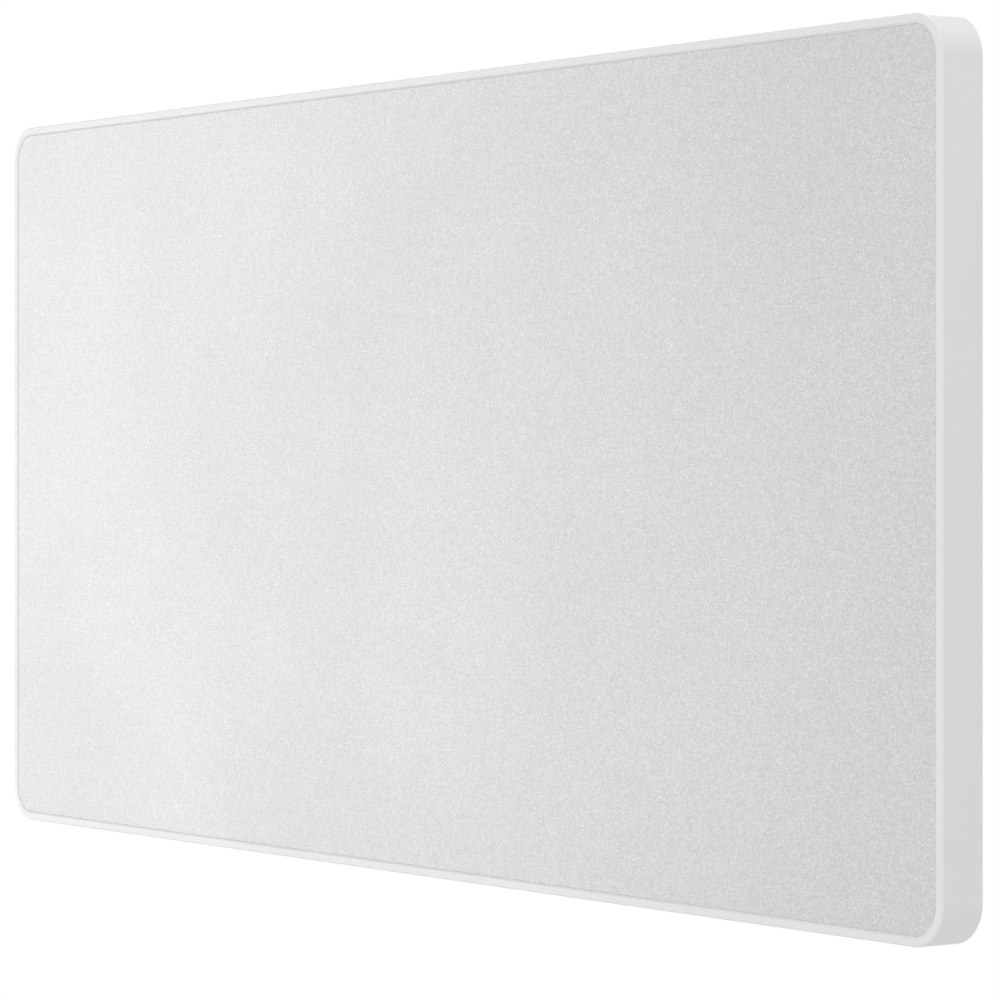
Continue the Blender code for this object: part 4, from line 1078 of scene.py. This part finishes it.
def make_connector_pieces():
    """Recess tub, hinged cover with moulded ribs, and the sockets with their contacts."""
    merged_copy("connector_box", "recess_tub", 0.3 * MM)
    merged_copy("connector_cover", "cover_flap", 0.35 * MM)
    for node in ("positive_socket", "negative_socket", "data_socket"):
        merged_copy(node, node + "_shell", 0.3 * MM)
    low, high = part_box("connector_cover")
    rise = 0.9 * MM
    levels = (
        (0, high.y - 0.2 * MM), (0, high.y + rise * 0.4), (0.25 * MM, high.y + rise * 0.8),
        (0.6 * MM, high.y + rise),
    )
    rib = helper(pressed_plate("rib", Vector((0, 0, 0)), 44 * MM, 1.1 * MM, 1.0 * MM, levels, 5))
    ribs = grow(
        "cover_ribs", ROW_OF_FORMS, Form=rib, Count=7, Start=(0, 0, low.z + 26 * MM), Pitch=(0, 0, 6 * MM),
        Finish=FINISHES["cover_plastic"],
    )
    drop(rib)
    soften(ribs)
    seat(ribs, "cover", "cover_plastic")
    for node in ("positive_socket", "negative_socket"):
        low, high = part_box(node)
        middle = (low + high) / 2
        pin_radius, pin_root = 1.7 * MM, 10.9 * MM
        pin_profile = (
            (0, pin_root), (pin_radius, pin_root), (pin_radius, 2.6 * MM), (1.3 * MM, 1.8 * MM),
            (0, 1.6 * MM),
        )
        pin = new_piece(node + "_pin", turned_mesh(node, pin_profile, 24))
        pin.data.transform(Matrix.Translation((middle.x, middle.y, low.z)))
        soften(pin)
        seat(pin, "unit", "copper")
    low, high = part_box("data_socket")
    middle = (low + high) / 2
    contact_levels = ((0, middle.y + 2.4 * MM), (0, middle.y + 3.9 * MM))
    contact_middle = Vector((middle.x, 0, 0))
    form = pressed_plate("contact", contact_middle, 0.3 * MM, 4.5 * MM, 0.1 * MM, contact_levels, 2)
    contact = helper(form)
    count, pitch = 8, 1.2 * MM
    contacts = grow(
        "data_contacts", ROW_OF_FORMS, Form=contact, Count=count,
        Start=(-pitch * (count - 1) / 2, 0, low.z + 6.4 * MM), Pitch=(pitch, 0, 0), Finish=FINISHES["brass"],
    )
    drop(contact)
    soften(contacts)
    seat(contacts, "unit", "brass")


# The underside


def make_controls():
    """Power button with a dished face and a flange, and the red rocker in its shell."""
    low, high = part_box("power_button")
    middle = (low + high) / 2
    radius, flange = 6.4 * MM, (high.x - low.x) / 2
    flange_start, tall = 2.4 * MM, high.z - low.z
    profile = (
        (0, 0.35 * MM), (2.6 * MM, 0.32 * MM), (4.4 * MM, 0.12 * MM), (5.2 * MM, 0), (radius - 0.3 * MM, 0),
        (radius, 0.35 * MM), (radius, flange_start), (flange, flange_start), (flange, tall), (0, tall),
    )
    button = new_piece("button_cap", turned_mesh("button_cap", profile, 48))
    button.data.transform(Matrix.Translation((middle.x, middle.y, low.z)))
    soften(button)
    seat(button, "button", "button_white", ["power_button"])
    merged_copy("isolator_rocker", "rocker_cap", 0.4 * MM, 3)
    merged_copy("switch_body", "switch_shell", 0.3 * MM)


def dress_the_rest():
    """Rounded copies of the plain CAD nodes, and finishes for all that stay."""
    for node, width in (
        ("rear_cover", 0), ("rear_gasket", 0.15), ("panel_gasket", 0.15), ("compression_pad", 0.6),
        ("cell_tray", 0.4), ("bms_board", 0.15), ("contactor", 0.6), ("main_fuse", 0.4), ("shunt", 0.3),
        ("positive_bar", 0.3), ("negative_bar", 0.3), ("positive_lead", 0.3), ("negative_lead", 0.3),
        ("fuse_link", 0.3), ("button_switch", 0.3), ("cover_pin", 0.2), ("rocker_pin", 0.15),
    ):
        merged_copy(node, node + "_part", width * MM)
    for node in sorted(frame["nodes"]):
        if node.startswith("cell_link_"):
            merged_copy(node, node + "_bar", 0.3 * MM)
        if node.startswith("cell_module_"):
            merged_copy(node, node + "_pouch", 0.8 * MM, 3)
    for node, piece in frame["nodes"].items():
        piece.material_slots[0].material = FINISHES[slot_of(node)]


# Room


def make_floor():
    """Pale round floor below the unit, clear from its underside."""
    mesh = bpy.data.meshes.new("floor")
    z = LOW.z - FLOOR_DROP
    points = []
    for step in range(FLOOR_STEPS):
        angle = 2 * math.pi * step / FLOOR_STEPS
        points.append((FLOOR_RADIUS * math.cos(angle), FLOOR_RADIUS * math.sin(angle), z))
    mesh.from_pydata(points, [], [tuple(range(FLOOR_STEPS))])
    floor = new_piece("floor", mesh)
    material = bpy.data.materials.new("pale_floor")
    material.use_nodes = True
    tree = material.node_tree
    shader = tree.nodes["Principled BSDF"]
    output = tree.nodes["Material Output"]
    place = tree.nodes.new("ShaderNodeTexCoord").outputs["Object"]
    drift = use_group(tree, TONE_DRIFT, place, Light_Tone=grey(0.86), Dark_Tone=grey(0.83), Patch_Size=0.6)
    tree.links.new(drift.outputs["Tone"], shader.inputs["Base Color"])
    shader.inputs["Roughness"].default_value = 0.9
    clear = tree.nodes.new("ShaderNodeBsdfTransparent")
    either = tree.nodes.new("ShaderNodeMixShader")
    side = tree.nodes.new("ShaderNodeNewGeometry")
    tree.links.new(side.outputs["Backfacing"], either.inputs[0])
    tree.links.new(shader.outputs["BSDF"], either.inputs[1])
    tree.links.new(clear.outputs["BSDF"], either.inputs[2])
    tree.links.new(either.outputs["Shader"], output.inputs["Surface"])
    mesh.materials.append(material)


def make_world():
    """White beyond the object, and a softer white as its light."""
    world = bpy.data.worlds.new("white_room")
    bpy.context.scene.world = world
    world.use_nodes = True
    tree = world.node_tree
    tree.nodes.clear()
    seen = add(tree, "ShaderNodeBackground", Color=grey(1.0), Strength=1.0)
    light = add(tree, "ShaderNodeBackground", Color=grey(1.0), Strength=ROOM_LIGHT)
    path = tree.nodes.new("ShaderNodeLightPath")
    either = tree.nodes.new("ShaderNodeMixShader")
    output = tree.nodes.new("ShaderNodeOutputWorld")
    tree.links.new(path.outputs["Is Camera Ray"], either.inputs[0])
    tree.links.new(light.outputs["Background"], either.inputs[1])
    tree.links.new(seen.outputs["Background"], either.inputs[2])
    tree.links.new(either.outputs["Shader"], output.inputs["Surface"])


def make_softbox(name, place, target, size, power):
    """A rectangular light, unseen itself, that faces its target."""
    data = bpy.data.lights.new(name, "AREA")
    data.shape = "RECTANGLE"
    data.size, data.size_y = size
    data.energy = power
    light = new_piece(name, data)
    light.visible_camera = False
    light.location = place
    light.rotation_euler = (Vector(target) - Vector(place)).to_track_quat("-Z", "Y").to_euler()


def make_lights():
    """Soft light from the left, the front, above and behind, and a little from below."""
    make_softbox(
        "left_softbox", place=(-2.8, -1.6, -0.15), target=(-0.6, 0.0, -0.2), size=(1.6, 2.0), power=32
    )
    make_softbox(
        "front_softbox", place=(2.6, -2.6, 0.9), target=(0.4, 0.0, -0.2), size=(2.0, 2.0), power=33
    )
    make_softbox(
        "top_softbox", place=(1.5, -0.1, 1.25), target=(0.6, 0.0, -0.1), size=(1.4, 1.0), power=5.4
    )
    make_softbox(
        "overhead_softbox", place=(0.2, 0.1, 2.2), target=(0.2, 0.0, 0.0), size=(2.4, 1.2), power=15
    )
    make_softbox(
        "floor_bounce", place=(1.0, -0.2, -1.15), target=(0.6, 0.0, -0.4), size=(1.0, 1.0), power=0.9
    )
    make_softbox(
        "back_softbox", place=(-1.9, 1.6, 1.5), target=(0.0, 0.0, -0.2), size=(1.2, 1.2), power=22
    )


def make_camera():
    """The camera, level with the unit, and a view that leaves its tones unchanged."""
    data = bpy.data.cameras.new("camera")
    data.sensor_width = CAMERA_SENSOR
    data.lens = CAMERA_LENS
    data.shift_y = CAMERA_SHIFT
    data.clip_end = CAMERA_REACH
    camera = new_piece("camera", data)
    camera.location = CAMERA_PLACE
    camera.rotation_euler = (math.radians(90), 0, math.radians(CAMERA_TURN))
    bpy.context.scene.camera = camera
    bpy.context.scene.view_settings.view_transform = "Standard"


make_camera()
make_world()
make_lights()
make_floor()
make_finishes()
make_frame_hoop()
make_panel_sheet()
make_seal_lip()
make_beads()
make_rear_screws()
make_hanging()
make_bumpers()
make_vent()
make_earth_stud()
make_connector_pieces()
make_controls()
dress_the_rest()
